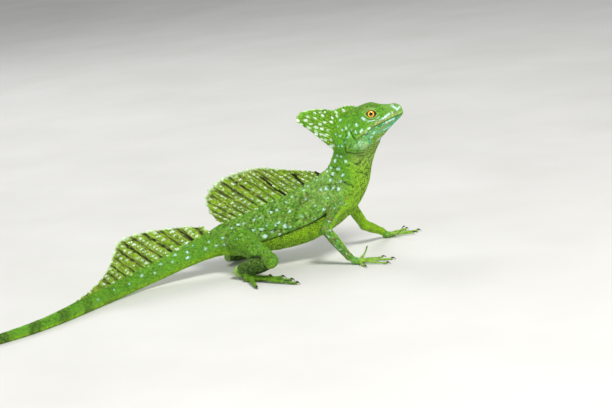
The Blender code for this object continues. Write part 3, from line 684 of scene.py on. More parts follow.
class Limb:
    """An arm or a leg: two segments, a pad and its digits. part is its first row in Places.outs."""

    def __init__(self, part, label, kind):
        limb = LIMBS[label]
        self.part, self.label, self.kind, self.side = part, label, kind, limb["side"]
        self.names, radii, digits, radius, self.pad = LIMB_KINDS[kind]
        root, bend, end = ((x, self.side * y, z) for x, y, z in limb[kind])
        place = limb[self.names[2]]
        self.heading = place["heading"]
        self.centre = np.array((place["palm"][0], self.side * place["palm"][1], self.pad[2] * 0.8))
        turn = math.radians(self.heading)
        self.pad_axes = np.array(
            ((math.cos(turn), -math.sin(turn), 0), (math.sin(turn), math.cos(turn), 0), (0, 0, 1))
        )
        self.upper, self.lower = segment(root, bend, radii[0]), segment(bend, end, radii[1])
        self.wrist = segment(end, self.centre + (0, 0, 0.4), [radius * share for share in WRIST_SHARES])
        self.paths = [
            digit_path(
                self.centre, self.heading, self.side * angle, length, held_up, radius, self.pad[0] * 0.35
            )
            for angle, length, held_up in digits
        ]
        self.digit_radius = radius
        self.digits = [digit(path, radius) for path in self.paths]

    def pad_outside(self, points):
        """Distance outside the pad."""
        away = points - self.centre
        reach = np.linalg.norm(away @ self.pad_axes / np.array(self.pad), axis=1) + 1e-9
        return (1 - 1 / reach) * np.linalg.norm(away, axis=1)

    def on_pad(self, turns, lift):
        """Places on the pad, from their turns round it and the sine of their height."""
        across = np.sqrt(1 - lift**2)
        ball = np.stack([across * np.cos(turns), across * np.sin(turns), lift * np.ones(len(turns))], -1)
        return self.centre + ball * self.pad @ self.pad_axes.T

    def pad_shell(self):
        """Rings of points from the pad's underside to its top."""
        turns = np.linspace(0, 2 * math.pi, 36, endpoint=False)
        return np.array([self.on_pad(turns, lift) for lift in np.sin(np.radians(np.linspace(-88, 88, 17)))])

    def pad_points(self, spacing):
        """Even places all over the pad."""
        count = round(4 * math.pi * (self.pad[0] * self.pad[1] / spacing**2) * 0.75)
        k = np.arange(count) + 0.5
        return self.on_pad(k * math.pi * (1 + math.sqrt(5)), 1 - 2 * k / count)

    def tubes(self):
        """Its tubes, from the body outwards."""
        return [self.upper, self.lower, self.wrist, *self.digits]


BODY = Body()
SKULL = Head()
LIMB_LIST = [
    Limb(2 + 3 * i, label, kind) for i, (label, kind) in enumerate(product(LIMBS, LIMB_KINDS))
]
HAND_REACH = 64.0  # no digit reaches further from its pad's centre


def smooth_union(a, b, reach):
    """The lesser of two distances, with a fillet of about that reach where they are alike."""
    h = np.clip(reach - np.abs(a - b), 0, None) / reach
    return np.minimum(a, b) - h * h * reach / 4


class Places:
    """For an array of points: which part of the body each belongs to and where on it. outs holds the
    distances outside the body, the head, and each limb's upper segment, lower segment and end."""

    def __init__(self, points):
        self.points = points
        self.local = head_local(points)
        self.station, self.angle, body = BODY.place(points)
        head = SKULL.outside(self.local)
        outs = [body, head]
        whole = smooth_union(body, head, 7.0)
        for limb in LIMB_LIST:
            upper, lower = limb.upper.place(points)[1], limb.lower.place(points)[1]
            end = smooth_union(limb.pad_outside(points), limb.wrist.place(points)[1], 3.0)
            near = np.linalg.norm(points - limb.centre, axis=1) < HAND_REACH
            for tube in limb.digits:
                out = np.full(len(points), 60.0)
                out[near] = tube.place(points[near])[1]
                end = smooth_union(end, out, 1.6)
            outs += [upper, lower, end]
            bend = np.linalg.norm(points - limb.lower.path[0], axis=1)
            whole = smooth_union(whole, upper, 9.0)
            whole = smooth_union(whole, lower, 0.8 + 3.0 * bump(bend, 9.0))
            whole = smooth_union(whole, end, 2.4)
        self.outs = np.array(outs)
        self.whole = whole
        self.part = self.outs.argmin(0)
        ordered = np.sort(self.outs, axis=0)
        self.joint = bump(ordered[1] - ordered[0], 3.0)
        self.limbs = [self.limb_shares(limb.part) for limb in LIMB_LIST]
        rest = 1 - np.clip(np.sum(self.limbs, axis=(0, 1)), 0, 1)
        head = ramp(1.5, -1.5, self.outs[1] - self.outs[0])
        self.on_body, self.on_head = rest * (1 - head), rest * head

    def limb_shares(self, part):
        """How far points belong to a limb's three segments, with a soft change towards the body."""
        mine = slice(part, part + 3)
        rest = np.delete(self.outs, mine, axis=0).min(0)
        whole = ramp(2.2, -2.2, self.outs[mine].min(0) - rest)
        return [whole * (self.outs[mine].argmin(0) == k) for k in range(3)]


# ---------------------------------------------------------------- markings


def to_segment(points, start, end):
    """Distance of 2D points from a straight line between two places."""
    start, end = np.array(start), np.array(end)
    run = end - start
    t = np.clip((points - start) @ run / max(run @ run, 1e-9), 0, 1)
    return np.linalg.norm(points - start - t[:, None] * run, axis=1)


def spots_of_skin():
    """Centre, radius and strength of each pale spot of the skin, on both sides of the animal."""
    rng = np.random.default_rng(7)
    rows = []

    def add_spot(place, size, sizes, strengths):
        rows.append((*place, size * rng.uniform(*sizes), rng.uniform(*strengths)))

    for (station, lift), side in product(BODY_SPOTS, (RIGHT, LEFT)):
        jitter = (0, 0) if side == RIGHT else rng.normal(0, 1, 2) * (0.09, 4.0)
        angle = math.radians(180 - lift if side == RIGHT else lift) + math.radians(jitter[1])
        station = station + jitter[0]
        size = 1.5 - 0.045 * max(station - VENT, 0)
        add_spot(BODY.surface(np.array([station]), np.array([angle]))[0], size, (0.62, 1.15), (0.62, 1.0))
    for (a, c), side in product(HEAD_SPOTS, (RIGHT, LEFT)):
        da, dc = (0, 0) if side == RIGHT else rng.normal(0, 0.8, 2)
        lower = SKULL.between(SKULL.half, np.array([a + da]))[0][::-1]
        across = np.interp(c + dc, lower[:, 1], lower[:, 0])
        add_spot(head_points([[a + da, side * across, c + dc]])[0], 1.0, (0.8, 1.2), (0.7, 1.0))
    for limb in LIMB_LIST:
        if limb.kind == "arm":
            for k, share, degrees in ARM_SPOTS:
                tube = (limb.upper, limb.lower)[k]
                at, turn = round(share * (len(tube.path) - 1)), math.radians(degrees)
                ahead, outward = tube.frame[0][at], np.array((0, limb.side, 0.3))
                outward = unit(outward - ahead * (ahead @ outward))
                aside = np.cross(outward, ahead) * -limb.side
                away = outward * math.cos(turn) + aside * math.sin(turn)
                add_spot(tube.path[at] + away * tube.radius[at], 1.0, (0.8, 1.05), (0.8, 1.0))
            continue
        for tube, count in ((limb.upper, 7), (limb.lower, 5)):
            _, side, up = tube.frame
            for _ in range(count):
                k = rng.integers(4, 23)
                turn = rng.uniform(0.05, 0.95) * math.pi
                away = side[k] * math.cos(turn) + up[k] * math.sin(turn)
                add_spot(tube.path[k] + away * tube.radius[k], 0.8, (0.55, 1.0), (0.45, 0.9))
    return np.array(rows)


SPOTS = spots_of_skin()
BATCH = 20000


def spot_cover(points):
    """How pale each point is, and how near it lies to a spot's outline, each from 0 to 1."""
    best, outline = np.zeros(len(points)), np.zeros(len(points))
    edge = rough(points, 1.2, 3) * 0.45
    for start in range(0, len(points), BATCH):
        part = slice(start, start + BATCH)
        away = np.linalg.norm(points[part, None, :] - SPOTS[None, :, :3], axis=-1) - SPOTS[None, :, 3]
        near = away.argmin(1)
        away = away[np.arange(len(near)), near] + edge[part]
        best[part] = ramp(0.15, -0.3, away) * SPOTS[near, 4]
        outline[part] = bump(away - 0.2, 0.3) * SPOTS[near, 4]
    return best, outline


# The dark layer holds dark markings and also painted shade: in folds and creases, behind the limbs, in mouth
# and nostrils, under the shanks and at the scales' rims. Yellow, bright and cream also carry some painted
# light.
LAYERS = ("pale", "yellow", "dark", "olive", "turquoise", "blush", "bright", "cream")


class Layers:
    """The strength of each colour of the hide at every point. What is laid on counts by a share."""

    def __init__(self, values, share=1.0):
        self.values, self.share = values, share

    def on(self, share):
        """The same layers, for a part of the body that has that share of each point."""
        return Layers(self.values, share)

    def add(self, name, value):
        self.values[name] = self.values[name] + self.share * value

    def over(self, name, value):
        """Keeps the stronger of what is there and the new value."""
        self.values[name] = np.maximum(self.values[name], self.share * value)

    def fade(self, value, *names):
        """Takes that share away from some layers."""
        for name in names:
            self.values[name] = self.values[name] * (1 - self.share * value)

    def colours(self):
        """Two tables of four channels, in the order of LAYERS."""
        table = np.clip(np.stack([self.values[name] for name in LAYERS], -1), 0, 1)
        return table[:, :4], table[:, 4:]


def lift_of(angle):
    """Degrees above the side's middle, the same on both sides of the body."""
    lift = np.degrees(np.where(np.cos(angle) < 0, math.pi - angle, angle))
    return (lift + 180) % 360 - 180


def neck_folds(points, station, lift):
    """The neck's short, broken folds, and the full skin between them, each from 0 to 1."""
    wave = np.sin(2 * math.pi * (station * 2.3 + lift / 105 + 0.55 * rough(points, 6.0, 5)))
    zone = within(station, 0.0, 0.4, 2.3, 3.1) * ramp(-80, -45, lift)
    broken = ramp(-0.2, 0.3, rough(points, 4.6, 12))
    return ramp(0.6, 0.95, wave) * broken * zone, ramp(-0.2, -0.9, wave) * zone


def leg_crease(where, limb):
    """1 where a folded limb's two segments meet, away from its bend."""
    upper, lower = where.outs[limb.part], where.outs[limb.part + 1]
    far = ramp(6.0, 11.0, np.linalg.norm(where.points - limb.lower.path[0], axis=1))
    return bump(upper - lower, 1.2) * far * ramp(3.0, 1.0, np.minimum(upper, lower))


def crossing(along, lift, pace, slant):
    """Waves that slant both ways over the body, multiplied, as in a net of seams."""
    return np.prod([np.sin(2 * math.pi * (along / pace + sign * lift / slant)) for sign in (1, -1)], axis=0)


def body_markings(layers, where, points):
    """Yellow belly and throat, painted shade in the folds, painted shadow behind the limbs, mottled flanks
    and the tail's bands.
    """
    hide = layers.on(where.on_body)
    station, lift = where.station, lift_of(where.angle)
    along = BODY.take(BODY.length, station)
    fold = lift - curve(FLANK_FOLD, station)
    coarse, fine = rough(points, 6.5, 1), rough(points, 2.2, 51)
    trunk = within(station, 2.4, 3.4, 7.4, 8.6)

    edge = 10 + 28 * ramp(1.8, 0.5, station)
    front = ramp(edge, edge - 38, lift) * ramp(3.4, 2.4, station)
    under = ramp(1.5, -2.5, fold) * trunk
    under = under + 0.85 * ramp(-8, -42, lift) * ramp(7.4, 8.6, station) + 0.85 * front
    folds, full = neck_folds(points, station, lift)
    second, nape = (above_line(station, lift, line) for line in (FLANK_CREASE, NAPE_CREASE))
    # Yellow belly and throat; the raised skin between the neck's folds is painted yellower as a highlight.
    hide.add("yellow", under + 0.45 * full * ramp(-0.3, 0.4, rough(points, 3.2, 18)))
    # Painted shade in the flank's fold, the crease above it, the nape's crease and the neck's folds.
    hide.add("dark", 0.95 * bump(fold - 0.5, 2.2) * within(station, 3.1, 3.9, 6.4, 7.2))
    hide.add("dark", 0.55 * bump(second, 1.7) * within(station, 5.3, 5.6, 6.5, 6.8))
    hide.add("dark", 0.5 * bump(nape, 2.6) * within(station, 2.1, 2.3, 3.3, 3.5) + 0.6 * folds)

    # The throat has a net of dark lines, the belly slanting seams.
    net = np.abs(crossing(along, lift, 3.3, 13.0))
    hide.add("dark", 0.62 * ramp(0.34, 0.08, net) * front * ramp(-0.7, 0.0, coarse))
    hide.add("cream", (0.08 + 0.25 * ramp(1.6, 0.8, station)) * front)
    seams = crossing(along, lift, 3.1, 9.0)
    hide.add("dark", 0.42 * ramp(0.05, 0.6, seams) * under * trunk * ramp(-82, -40, fold + 40))
    hide.add("olive", (0.08 + 0.35 * fine) * under * trunk)

    # The flank is mottled with olive, cream and a little brown, in short leaning streaks.
    flank = layers.on(where.on_body * ramp(-14, 20, fold) * within(station, 1.7, 2.8, 7.6, 9.6))
    leaning = np.stack([along + lift * 0.07, lift * 0.2, 30.0 * np.sign(np.cos(where.angle))], -1)
    streak = rough(leaning, 1.1, 54)
    flank.add("olive", 0.2 + 0.25 * coarse + 0.25 * fine + 0.55 * ramp(0.0, -0.45, streak))
    flank.add("cream", 0.45 * ramp(0.1, 0.5, streak + 0.25 * fine) + 0.14 * ramp(5.2, 3.8, station))
    flank.add("dark", 0.3 * ramp(-0.2, -0.55, streak))
    flank.add("blush", 0.3 * ramp(0.25, 0.7, rough(points, 1.9, 52)))
    hide.add("bright", 0.42 + 0.35 * rough(points, 3.4, 53))

    # Painted shadow behind each limb, the tail's bands, and dark flecks at its root.
    for limb in LIMB_LIST:
        behind = (points - limb.upper.path[4]) @ unit(np.array((-0.8, 0.0, -0.6)))
        hide.add("dark", 0.5 * ramp(5.0, 0.8, where.outs[limb.part]) * ramp(0.5, 5.0, behind))
    band = 0.5 + 0.5 * np.sin(2 * math.pi * (along / 30.0 + 0.15))
    hide.add("olive", 0.75 * ramp(14, 24, station) * ramp(0.55, 0.85, band))
    hide.add("olive", (0.18 + 0.4 * fine) * ramp(7.6, 9.0, station))
    hide.add("dark", 0.35 * ramp(18, 34, station) * ramp(0.6, 0.9, band))
    flecks = bump(lift - 20, 26) * bump(station - 9.75, 0.75)
    hide.over("dark", 0.95 * flecks * ramp(0.42, 0.62, rough(points * (1, 1, 0.4), 2.2, 11)))


class Face:
    """Places on the head: along it, sideways and up, and distances from mouth, nostrils and lids."""

    def __init__(self, local):
        self.a, self.side, self.c = local.T
        self.out = np.abs(self.side)
        self.plane = np.stack([self.a, self.c], -1)
        self.mouth = above_line(self.a, self.c, MOUTH)
        self.nostril = np.linalg.norm(np.stack([self.a, self.out, self.c], -1) - np.array(NOSTRIL), axis=1)
        self.opening = self.from_lids()
        self.drum = np.linalg.norm((self.plane - EARDRUM["centre"]) / EARDRUM["half"], axis=1)

    def from_lids(self):
        """Distance outside the edge of the lids' opening."""
        turn = math.radians(EYE_OPENING["tilt"])
        da, dc = (self.plane - EYE_OPENING["centre"]).T
        u = da * math.cos(turn) + dc * math.sin(turn)
        v = -da * math.sin(turn) + dc * math.cos(turn)
        length, height = EYE_OPENING["half_length"], EYE_OPENING["half_height"]
        edge = height * np.clip(1 - (u / length) ** 2, 0, None) ** 0.75
        past = np.clip(np.abs(u) - length, 0, None)
        return np.where(past > 0, np.hypot(past, v), np.abs(v) - edge)


def head_markings(layers, where, points):
    """Green head, pale throat, jowls lightened with painted light, turquoise jaw, dark lids, painted shade in
    the mouth's slit and the nostrils, and the marks of the face.
    """
    face = Face(where.local)
    a, c, out, mouth, opening = face.a, face.c, face.out, face.mouth, face.opening
    hide, outer = layers.on(where.on_head), layers.on(where.on_head * (out > 3))
    fine, wobble = rough(points, 1.9, 61), rough(points, 1.1, 62)
    throat = ramp(-8.0, -11.5, mouth) * ramp(-60, -50, a) + ramp(-6.0, -8.4, mouth) * ramp(-30, -22, a)
    throat = np.clip(throat, 0, 1)
    hide.add("yellow", throat + 0.3 * ramp(-48, -56, a) * ramp(-8, 0, c))
    hide.add("dark", throat * 0.5 * ramp(0.0, 0.7, np.sin(c * 3.0 + a * 0.7 + 2.2 * fine)))
    hide.add("dark", 0.2 * ramp(0.35, 0.7, rough(points, 1.2, 63)))
    hide.add("bright", 0.75 * ramp(-12, 2, mouth) * ramp(14, 8, c) + 0.3 * fine + 0.5 * ramp(-46, -54, a))
    hide.add("olive", 0.2 * ramp(7, 13, c) + 0.5 * fine)
    hide.add("cream", throat * 0.3 + 0.3 * ramp(-18, -4, a) * ramp(-1, 5, mouth))
    # Painted light: the jowls face down into shade, so they are lit up with bright, cream and turquoise and
    # cleared of olive, dark and yellow.
    jowl_light = bump(a + 46, 8.5) * bump(c + 16.5, 5.5)
    for name, strength in (("bright", 0.8), ("cream", 0.45), ("turquoise", 0.25)):
        hide.add(name, strength * jowl_light * ramp(-0.6, 0.3, fine))
    hide.fade(0.7 * jowl_light, "olive", "dark", "yellow")
    hide.add("cream", 0.3 * bump(mouth - 1.5, 1.3) * ramp(-42, -34, a))
    hide.add("turquoise", 0.62 * ramp(-0.4, -1.4, mouth) * ramp(-8.2, -5.2, mouth) * ramp(-46, -34, a))
    # Painted shade in the slit of the mouth.
    hide.over("dark", 0.9 * bump(mouth, 0.5) * ramp(-47.5, -44, a))
    outer.over("dark", 0.95 * ramp(0.5, -0.2, opening))
    outer.over("yellow", 0.8 * bump(opening - 1.0, 0.55))
    outer.over("cream", 0.5 * bump(opening - 1.0, 0.5))
    outer.over("dark", 0.65 * bump(opening - 1.9, 0.34) * ramp(-0.5, 0.1, wobble))
    # Painted shade in the nostrils' hollows.
    hide.over("dark", 0.95 * ramp(1.35, 0.7, face.nostril))
    near = layers.on(where.on_head * (out > np.where(c > 10.3, 7.5, 0.8)))
    for name, strength, width, *line in FACE_MARKS:
        away = np.min([to_segment(face.plane, start, end) for start, end in zip(line, line[1:])], axis=0)
        near.over(name, strength * ramp(width * 1.45, width * 0.55, away + 0.22 * wobble))
        if name == "pale":
            near.fade(ramp(width * 1.3, width * 0.6, away), "dark")


def toes_of(limb, points, end):
    """1 on the digits, and how near each point is to a joint of its digit."""
    toes, rings = np.zeros(len(points)), np.zeros(len(points))
    near = (end > 0) & (np.linalg.norm(points - limb.centre, axis=1) < HAND_REACH)
    for tube in limb.digits:
        along, out = tube.place(points[near])
        joint = 0.5 + 0.5 * np.cos(along / tube.length[-1] * 4 * math.pi)
        on_toe = (np.abs(out) < 1.0) & (along > 1.5)
        rings[near] = np.where(on_toe, joint, rings[near])
        toes[near] = np.maximum(toes[near], on_toe)
    return toes, rings


def arm_markings(layers, limb, shares, points, normals, toes, rings):
    """Olive outside with brown and cream flecks, yellow in front. The left arm, which lies in shade, is
    lightened with painted light: yellow all round, with less brown and turquoise.
    """
    coarse, fine, specks = rough(points, 4.4, 4), rough(points, 1.8, 71), rough(points, 1.5, 73)
    upper, lower, end = shares
    arm, hand = layers.on(upper + lower), layers.on(end)
    facing = normals @ unit(np.array((0.75, -0.1 * limb.side, -0.65)))
    front = ramp(-0.15, 0.35, facing)
    # The left arm lies in shade and gets painted light: more yellow, less brown, less turquoise.
    far = limb.side == LEFT
    arm.add("yellow", 0.95 * front + (0.6 if far else 0.1))
    arm.add("olive", (0.2 + 0.5 * fine + 0.2 * coarse) * (1 - 0.7 * front))
    arm.add("blush", (0.1 if far else 0.6) * ramp(0.15, 0.5, specks) * (1 - front))
    arm.add("dark", 0.35 * ramp(0.25, 0.6, rough(points, 1.3, 74)))
    arm.add("cream", 0.4 * ramp(0.3, 0.6, rough(points, 1.2, 75)) * (1 - front))
    layers.on(upper).add("dark", 0.4 * bump(facing + 0.2, 0.1) * ramp(-0.4, 0.1, coarse))
    layers.add("turquoise", (0.06 * upper + 0.08 * lower) * (0 if far else 1 - front))
    hand.add("turquoise", (1 - toes) * (0.08 if far else 0.2))
    hand.add("yellow", 0.35 + 0.4 * toes)
    hand.add("cream", 0.15 + 0.2 * rings)


def leg_markings(layers, limb, shares, points, normals):
    """Olive thigh, darker shank with cream flecks, painted warm light on its top and painted shade under it,
    and a pale heel.
    """
    coarse, fine, specks = rough(points, 4.4, 4), rough(points, 1.8, 71), rough(points, 1.5, 73)
    thigh, shank, foot = (layers.on(share) for share in shares)
    height = normals[:, 2]
    thigh.add("yellow", 0.55 * ramp(-0.1, -0.75, height) + 0.25 * ramp(-0.2, 0.5, coarse))
    thigh.add("olive", 0.3 + 0.35 * coarse + 0.5 * fine)
    thigh.add("dark", 0.25 * ramp(0.2, 0.6, specks))
    thigh.over("cream", 0.45 * ramp(0.4, 0.65, rough(points, 1.4, 76)))
    shank.add("olive", 0.95 + 0.2 * coarse)
    # Painted light: the shank's top is yellower. Painted shade: its underside is darker, beside the dark
    # specks.
    shank.add("yellow", 0.5 * ramp(-0.3, 0.7, height))
    shank.add("dark", 0.14 + 0.4 * ramp(-0.1, 0.6, specks) + 0.3 * ramp(0.0, -0.8, height))
    shank.over("cream", 0.55 * ramp(0.4, 0.6, rough(points, 1.25, 41)))
    heel = np.linalg.norm(points - limb.lower.path[-1], axis=1)
    pale = (shank.share + foot.share) * ramp(7.6, 4.4, heel + fine) * ramp(0.4, -0.2, normals[:, 0])
    layers.over("cream", 0.75 * pale)
    layers.over("yellow", pale)
    layers.fade(pale, "olive", "dark")
    foot.add("olive", 0.45 + 0.3 * fine)
    foot.add("yellow", 0.35)


def limb_markings(layers, where, points, normals):
    """What all limbs share, then the markings of arms or legs."""
    for limb, shares in zip(LIMB_LIST, where.limbs):
        upper, lower, end = shares
        # Painted shade in the crease where a folded limb's two segments meet.
        layers.over("dark", (upper + lower) * 0.9 * leg_crease(where, limb))
        toes, rings = toes_of(limb, points, end)
        layers.add("bright", (upper + lower + end) * (0.4 + 0.4 * rough(points, 1.8, 71)))
        layers.add("dark", end * 0.3 * (1 - rings) * ramp(-0.2, 0.4, rough(points, 1.6, 6)))
        if limb.kind == "arm":
            arm_markings(layers, limb, shares, points, normals, toes, rings)
        else:
            leg_markings(layers, limb, shares, points, normals)


def markings(points, normals):
    """Two colour layers for points of the skin, with the strengths of LAYERS in their channels."""
    where = Places(points)
    layers = Layers({name: np.zeros(len(points)) for name in LAYERS})
    pale, outline = spot_cover(points)
    layers.add("pale", pale)
    layers.add("turquoise", 0.35 * outline)
    layers.add("dark", 0.3 * outline)
    body_markings(layers, where, points)
    head_markings(layers, where, points)
    limb_markings(layers, where, points, normals)
    return layers.colours()


# ---------------------------------------------------------------- relief of the skin


def body_relief(points, where):
    """The flank hangs over the belly's fold, with small creases and faint ribs. The neck is in folds."""
    station, lift = where.station, lift_of(where.angle)
    fold = lift - curve(FLANK_FOLD, station)
    zone = within(station, 3.1, 3.9, 6.3, 7.2)
    height = zone * (0.9 * bump(fold - 7, 6) - 1.3 * bump(fold, 2.2))
    second = above_line(station, lift, FLANK_CREASE)
    height += within(station, 5.3, 5.6, 6.5, 6.8) * (0.4 * bump(second - 5, 4) - 0.5 * bump(second, 1.8))
    nape = above_line(station, lift, NAPE_CREASE)
    height -= 0.5 * bump(nape, 2.6) * within(station, 2.1, 2.3, 3.3, 3.5)
    ribs = np.sin(2 * math.pi * (BODY.take(BODY.length, station) / 9.0 + lift / 160))
    height += 0.16 * ribs * within(station, 3.4, 4.4, 6.4, 7.4) * bump(lift - 20, 34)
    folds, full = neck_folds(points, station, lift)
    height += (1 - where.joint) * (0.3 * full - 0.5 * folds)
    return height + 0.14 * rough(points, 6.0, 15)


def head_relief(points, where):
    """Lips, brow ridge, nostrils, ear drum, cheek, jaw, lids and the creases behind them."""
    face = Face(where.local)
    a, side, c, out, mouth, opening = face.a, face.side, face.c, face.out, face.mouth, face.opening
    lips = 0.32 * bump(mouth - 1.5) + 0.2 * bump(mouth + 1.4) - 0.75 * bump(mouth, 0.42)
    height = ramp(-48.5, -45, a) * lips
    ridge = above_line(a, c, CANTHUS)
    brow = within(a, -37, -32, -7, -3) * ramp(1.5, 3.0, out)
    under_brow = 0.45 * bump(ridge + 3.6, 1.9) * ramp(-19, -16, a)
    height += brow * (0.75 * bump(ridge - 0.3, 1.3) - under_brow)
    height -= 0.5 * bump(side, 1.9) * ramp(-24, -17, a) * ramp(-2.5, -6, a) * ramp(2, 5, c)
    height += 0.75 * bump(face.nostril, 2.2) - 2.1 * bump(face.nostril, 0.85)
    height += (0.35 * bump(face.drum - 1.25, 0.3) - 0.75 * ramp(1.1, 0.8, face.drum)) * (out > 3)
    cheek, jaw = np.hypot((a + 41.0) / 7.5, (c + 1.5) / 5.5), np.hypot((a + 45.0) / 8.5, (c + 16.0) / 4.5)
    height += 0.5 * bump(cheek) + 0.7 * bump(jaw)
    for depth, width, least_out, *line in FACE_CREASES:
        height -= depth * bump(to_segment(face.plane, *line), width) * (out > least_out)
    height += (out > 4) * (0.3 * bump(opening - 3.1, 0.5) - 0.4 * bump(opening - 2.4, 0.35))
    throat = ramp(-9, -13, mouth) * ramp(-60, -52, a)
    height += throat * 0.16 * np.sin(side * 2.4 + rough(points, 8.0, 9) * 2)
    return height + 0.07 * rough(points, 3.0, 16)


def limb_relief(points, where):
    """Creases at the bends, and soft muscle."""
    height = 0.18 * rough(points, 5.0, 14)
    for limb in LIMB_LIST:
        height -= 0.5 * leg_crease(where, limb)
    return height


def relief(points, where):
    """How far the skin stands proud of the smooth body at each point, along its normal."""
    choices = body_relief(points, where), head_relief(points, where), limb_relief(points, where)
    return np.choose(np.minimum(where.part, 2), choices)


def carve_eyes(points, where):
    """Opens the lids round each eyeball and lays their skin over it."""
    face = Face(where.local)
    opening = face.opening
    result = where.local.copy()
    for sign in (RIGHT, LEFT):
        centre = np.array((EYE_PLACE.x, sign * EYE_PLACE.y, EYE_PLACE.z))
        away = where.local - centre
        outer = (face.side * sign > 3.2) & (np.abs(face.a - EYE_PLACE.x) < 11)
        lid = EYE_RADIUS + 0.12 + 0.5 * ramp(0.0, 0.9, opening)
        inner = EYE_RADIUS - 0.9
        target = np.where(opening > 0, lid, inner + (lid - inner) * ramp(-0.7, 0.0, opening))
        moved = centre + unit(away) * target[:, None]
        result += (moved - where.local) * (outer * ramp(3.0, 1.2, opening))[:, None]
    return np.where((where.part == 1)[:, None], head_points(result), points)


# ---------------------------------------------------------------- meshes


def tube_faces(rings, sides, base=0):
    """Faces of a closed tube of rings."""
    k = np.arange(sides)
    j = (k + 1) % sides
    faces = []
    for r in range(rings - 1):
        low, high = base + r * sides, base + (r + 1) * sides
        faces += np.stack([low + k, low + j, high + j, high + k], -1).tolist()
    faces.append((base + k[::-1]).tolist())
    faces.append((base + (rings - 1) * sides + k).tolist())
    return faces


class Shell:
    """Points and faces gathered from several closed shapes."""

    def __init__(self):
        self.points, self.faces, self.count = [], [], 0

    def add(self, points, faces):
        """Adds points, and faces that count from the first of them."""
        self.points.append(np.asarray(points, float))
        self.faces += [[self.count + i for i in face] for face in faces]
        self.count += len(points)

    def add_tube(self, rings):
        """Adds a closed tube, given by its rings of points."""
        self.add(rings.reshape(-1, 3), tube_faces(*rings.shape[:2]))

    def mesh(self, name):
        """All of it as one mesh."""
        mesh = bpy.data.meshes.new(name)
        mesh.from_pydata(to_frame(np.concatenate(self.points)).tolist(), [], self.faces)
        mesh.update()
        return mesh


def linked(name, data):
    """A new object in the scene."""
    made = bpy.data.objects.new(name, data)
    bpy.context.scene.collection.objects.link(made)
    return made


def new_piece(name, mesh, material):
    """An object for a finished mesh. It sits at the origin, with its place in the mesh."""
    old = bpy.data.objects.get(name)
    if old is not None:
        bpy.data.objects.remove(old, do_unlink=True)
    mesh.name = name
    if material is not None:
        mesh.materials.clear()
        mesh.materials.append(material)
    mesh.shade_smooth()
    return linked(name, mesh)


def evaluated_mesh(piece):
    """A plain mesh of an object with its modifiers applied."""
    graph = bpy.context.evaluated_depsgraph_get()
    graph.update()
    return bpy.data.meshes.new_from_object(piece.evaluated_get(graph))


def modified(piece, kind, **values):
    """Applies one modifier to a piece's mesh."""
    modifier = piece.modifiers.new(kind.lower(), kind)
    for key, value in values.items():
        setattr(modifier, key, value)
    mesh = evaluated_mesh(piece)
    piece.modifiers.clear()
    old, piece.data = piece.data, mesh
    bpy.data.meshes.remove(old)


def table_of(rows, key, columns, kind=float):
    """One of Blender's own tables as an array."""
    found = np.empty(len(rows) * columns, kind)
    rows.foreach_get(key, found)
    return found.reshape(-1, columns)


def points_of(mesh):
    """A mesh's points in the tables' frame."""
    return from_frame(table_of(mesh.vertices, "co", 3))


def normals_of(mesh):
    """The normal at each point."""
    return table_of(mesh.vertex_normals, "vector", 3)


def put_points(mesh, points):
    """Moves a mesh's points to new places, given in the tables' frame."""
    mesh.vertices.foreach_set("co", to_frame(points).ravel())
    mesh.update()


def soften(mesh, points, weight, times):
    """Moves points towards their neighbours' average, by their weight."""
    one, two = table_of(mesh.edges, "vertices", 2, int).T
    count = np.bincount(one, minlength=len(points)) + np.bincount(two, minlength=len(points))
    for _ in range(times):
        total = np.stack([
            np.bincount(one, points[two, i], len(points)) + np.bincount(two, points[one, i], len(points))
            for i in range(3)
        ], -1)
        points = points + (total / count[:, None] - points) * weight[:, None]
    return points


def put_layer(mesh, name, values):
    """A colour layer on a mesh's points."""
    layer = mesh.attributes.new(name, "FLOAT_COLOR", "POINT")
    layer.data.foreach_set("color", np.asarray(values, float).ravel())


def put_vectors(mesh, name, values):
    """A vector for each of a mesh's points."""
    layer = mesh.attributes.new(name, "FLOAT_VECTOR", "POINT")
    layer.data.foreach_set("vector", np.asarray(values, float).ravel())


# ---------------------------------------------------------------- materials


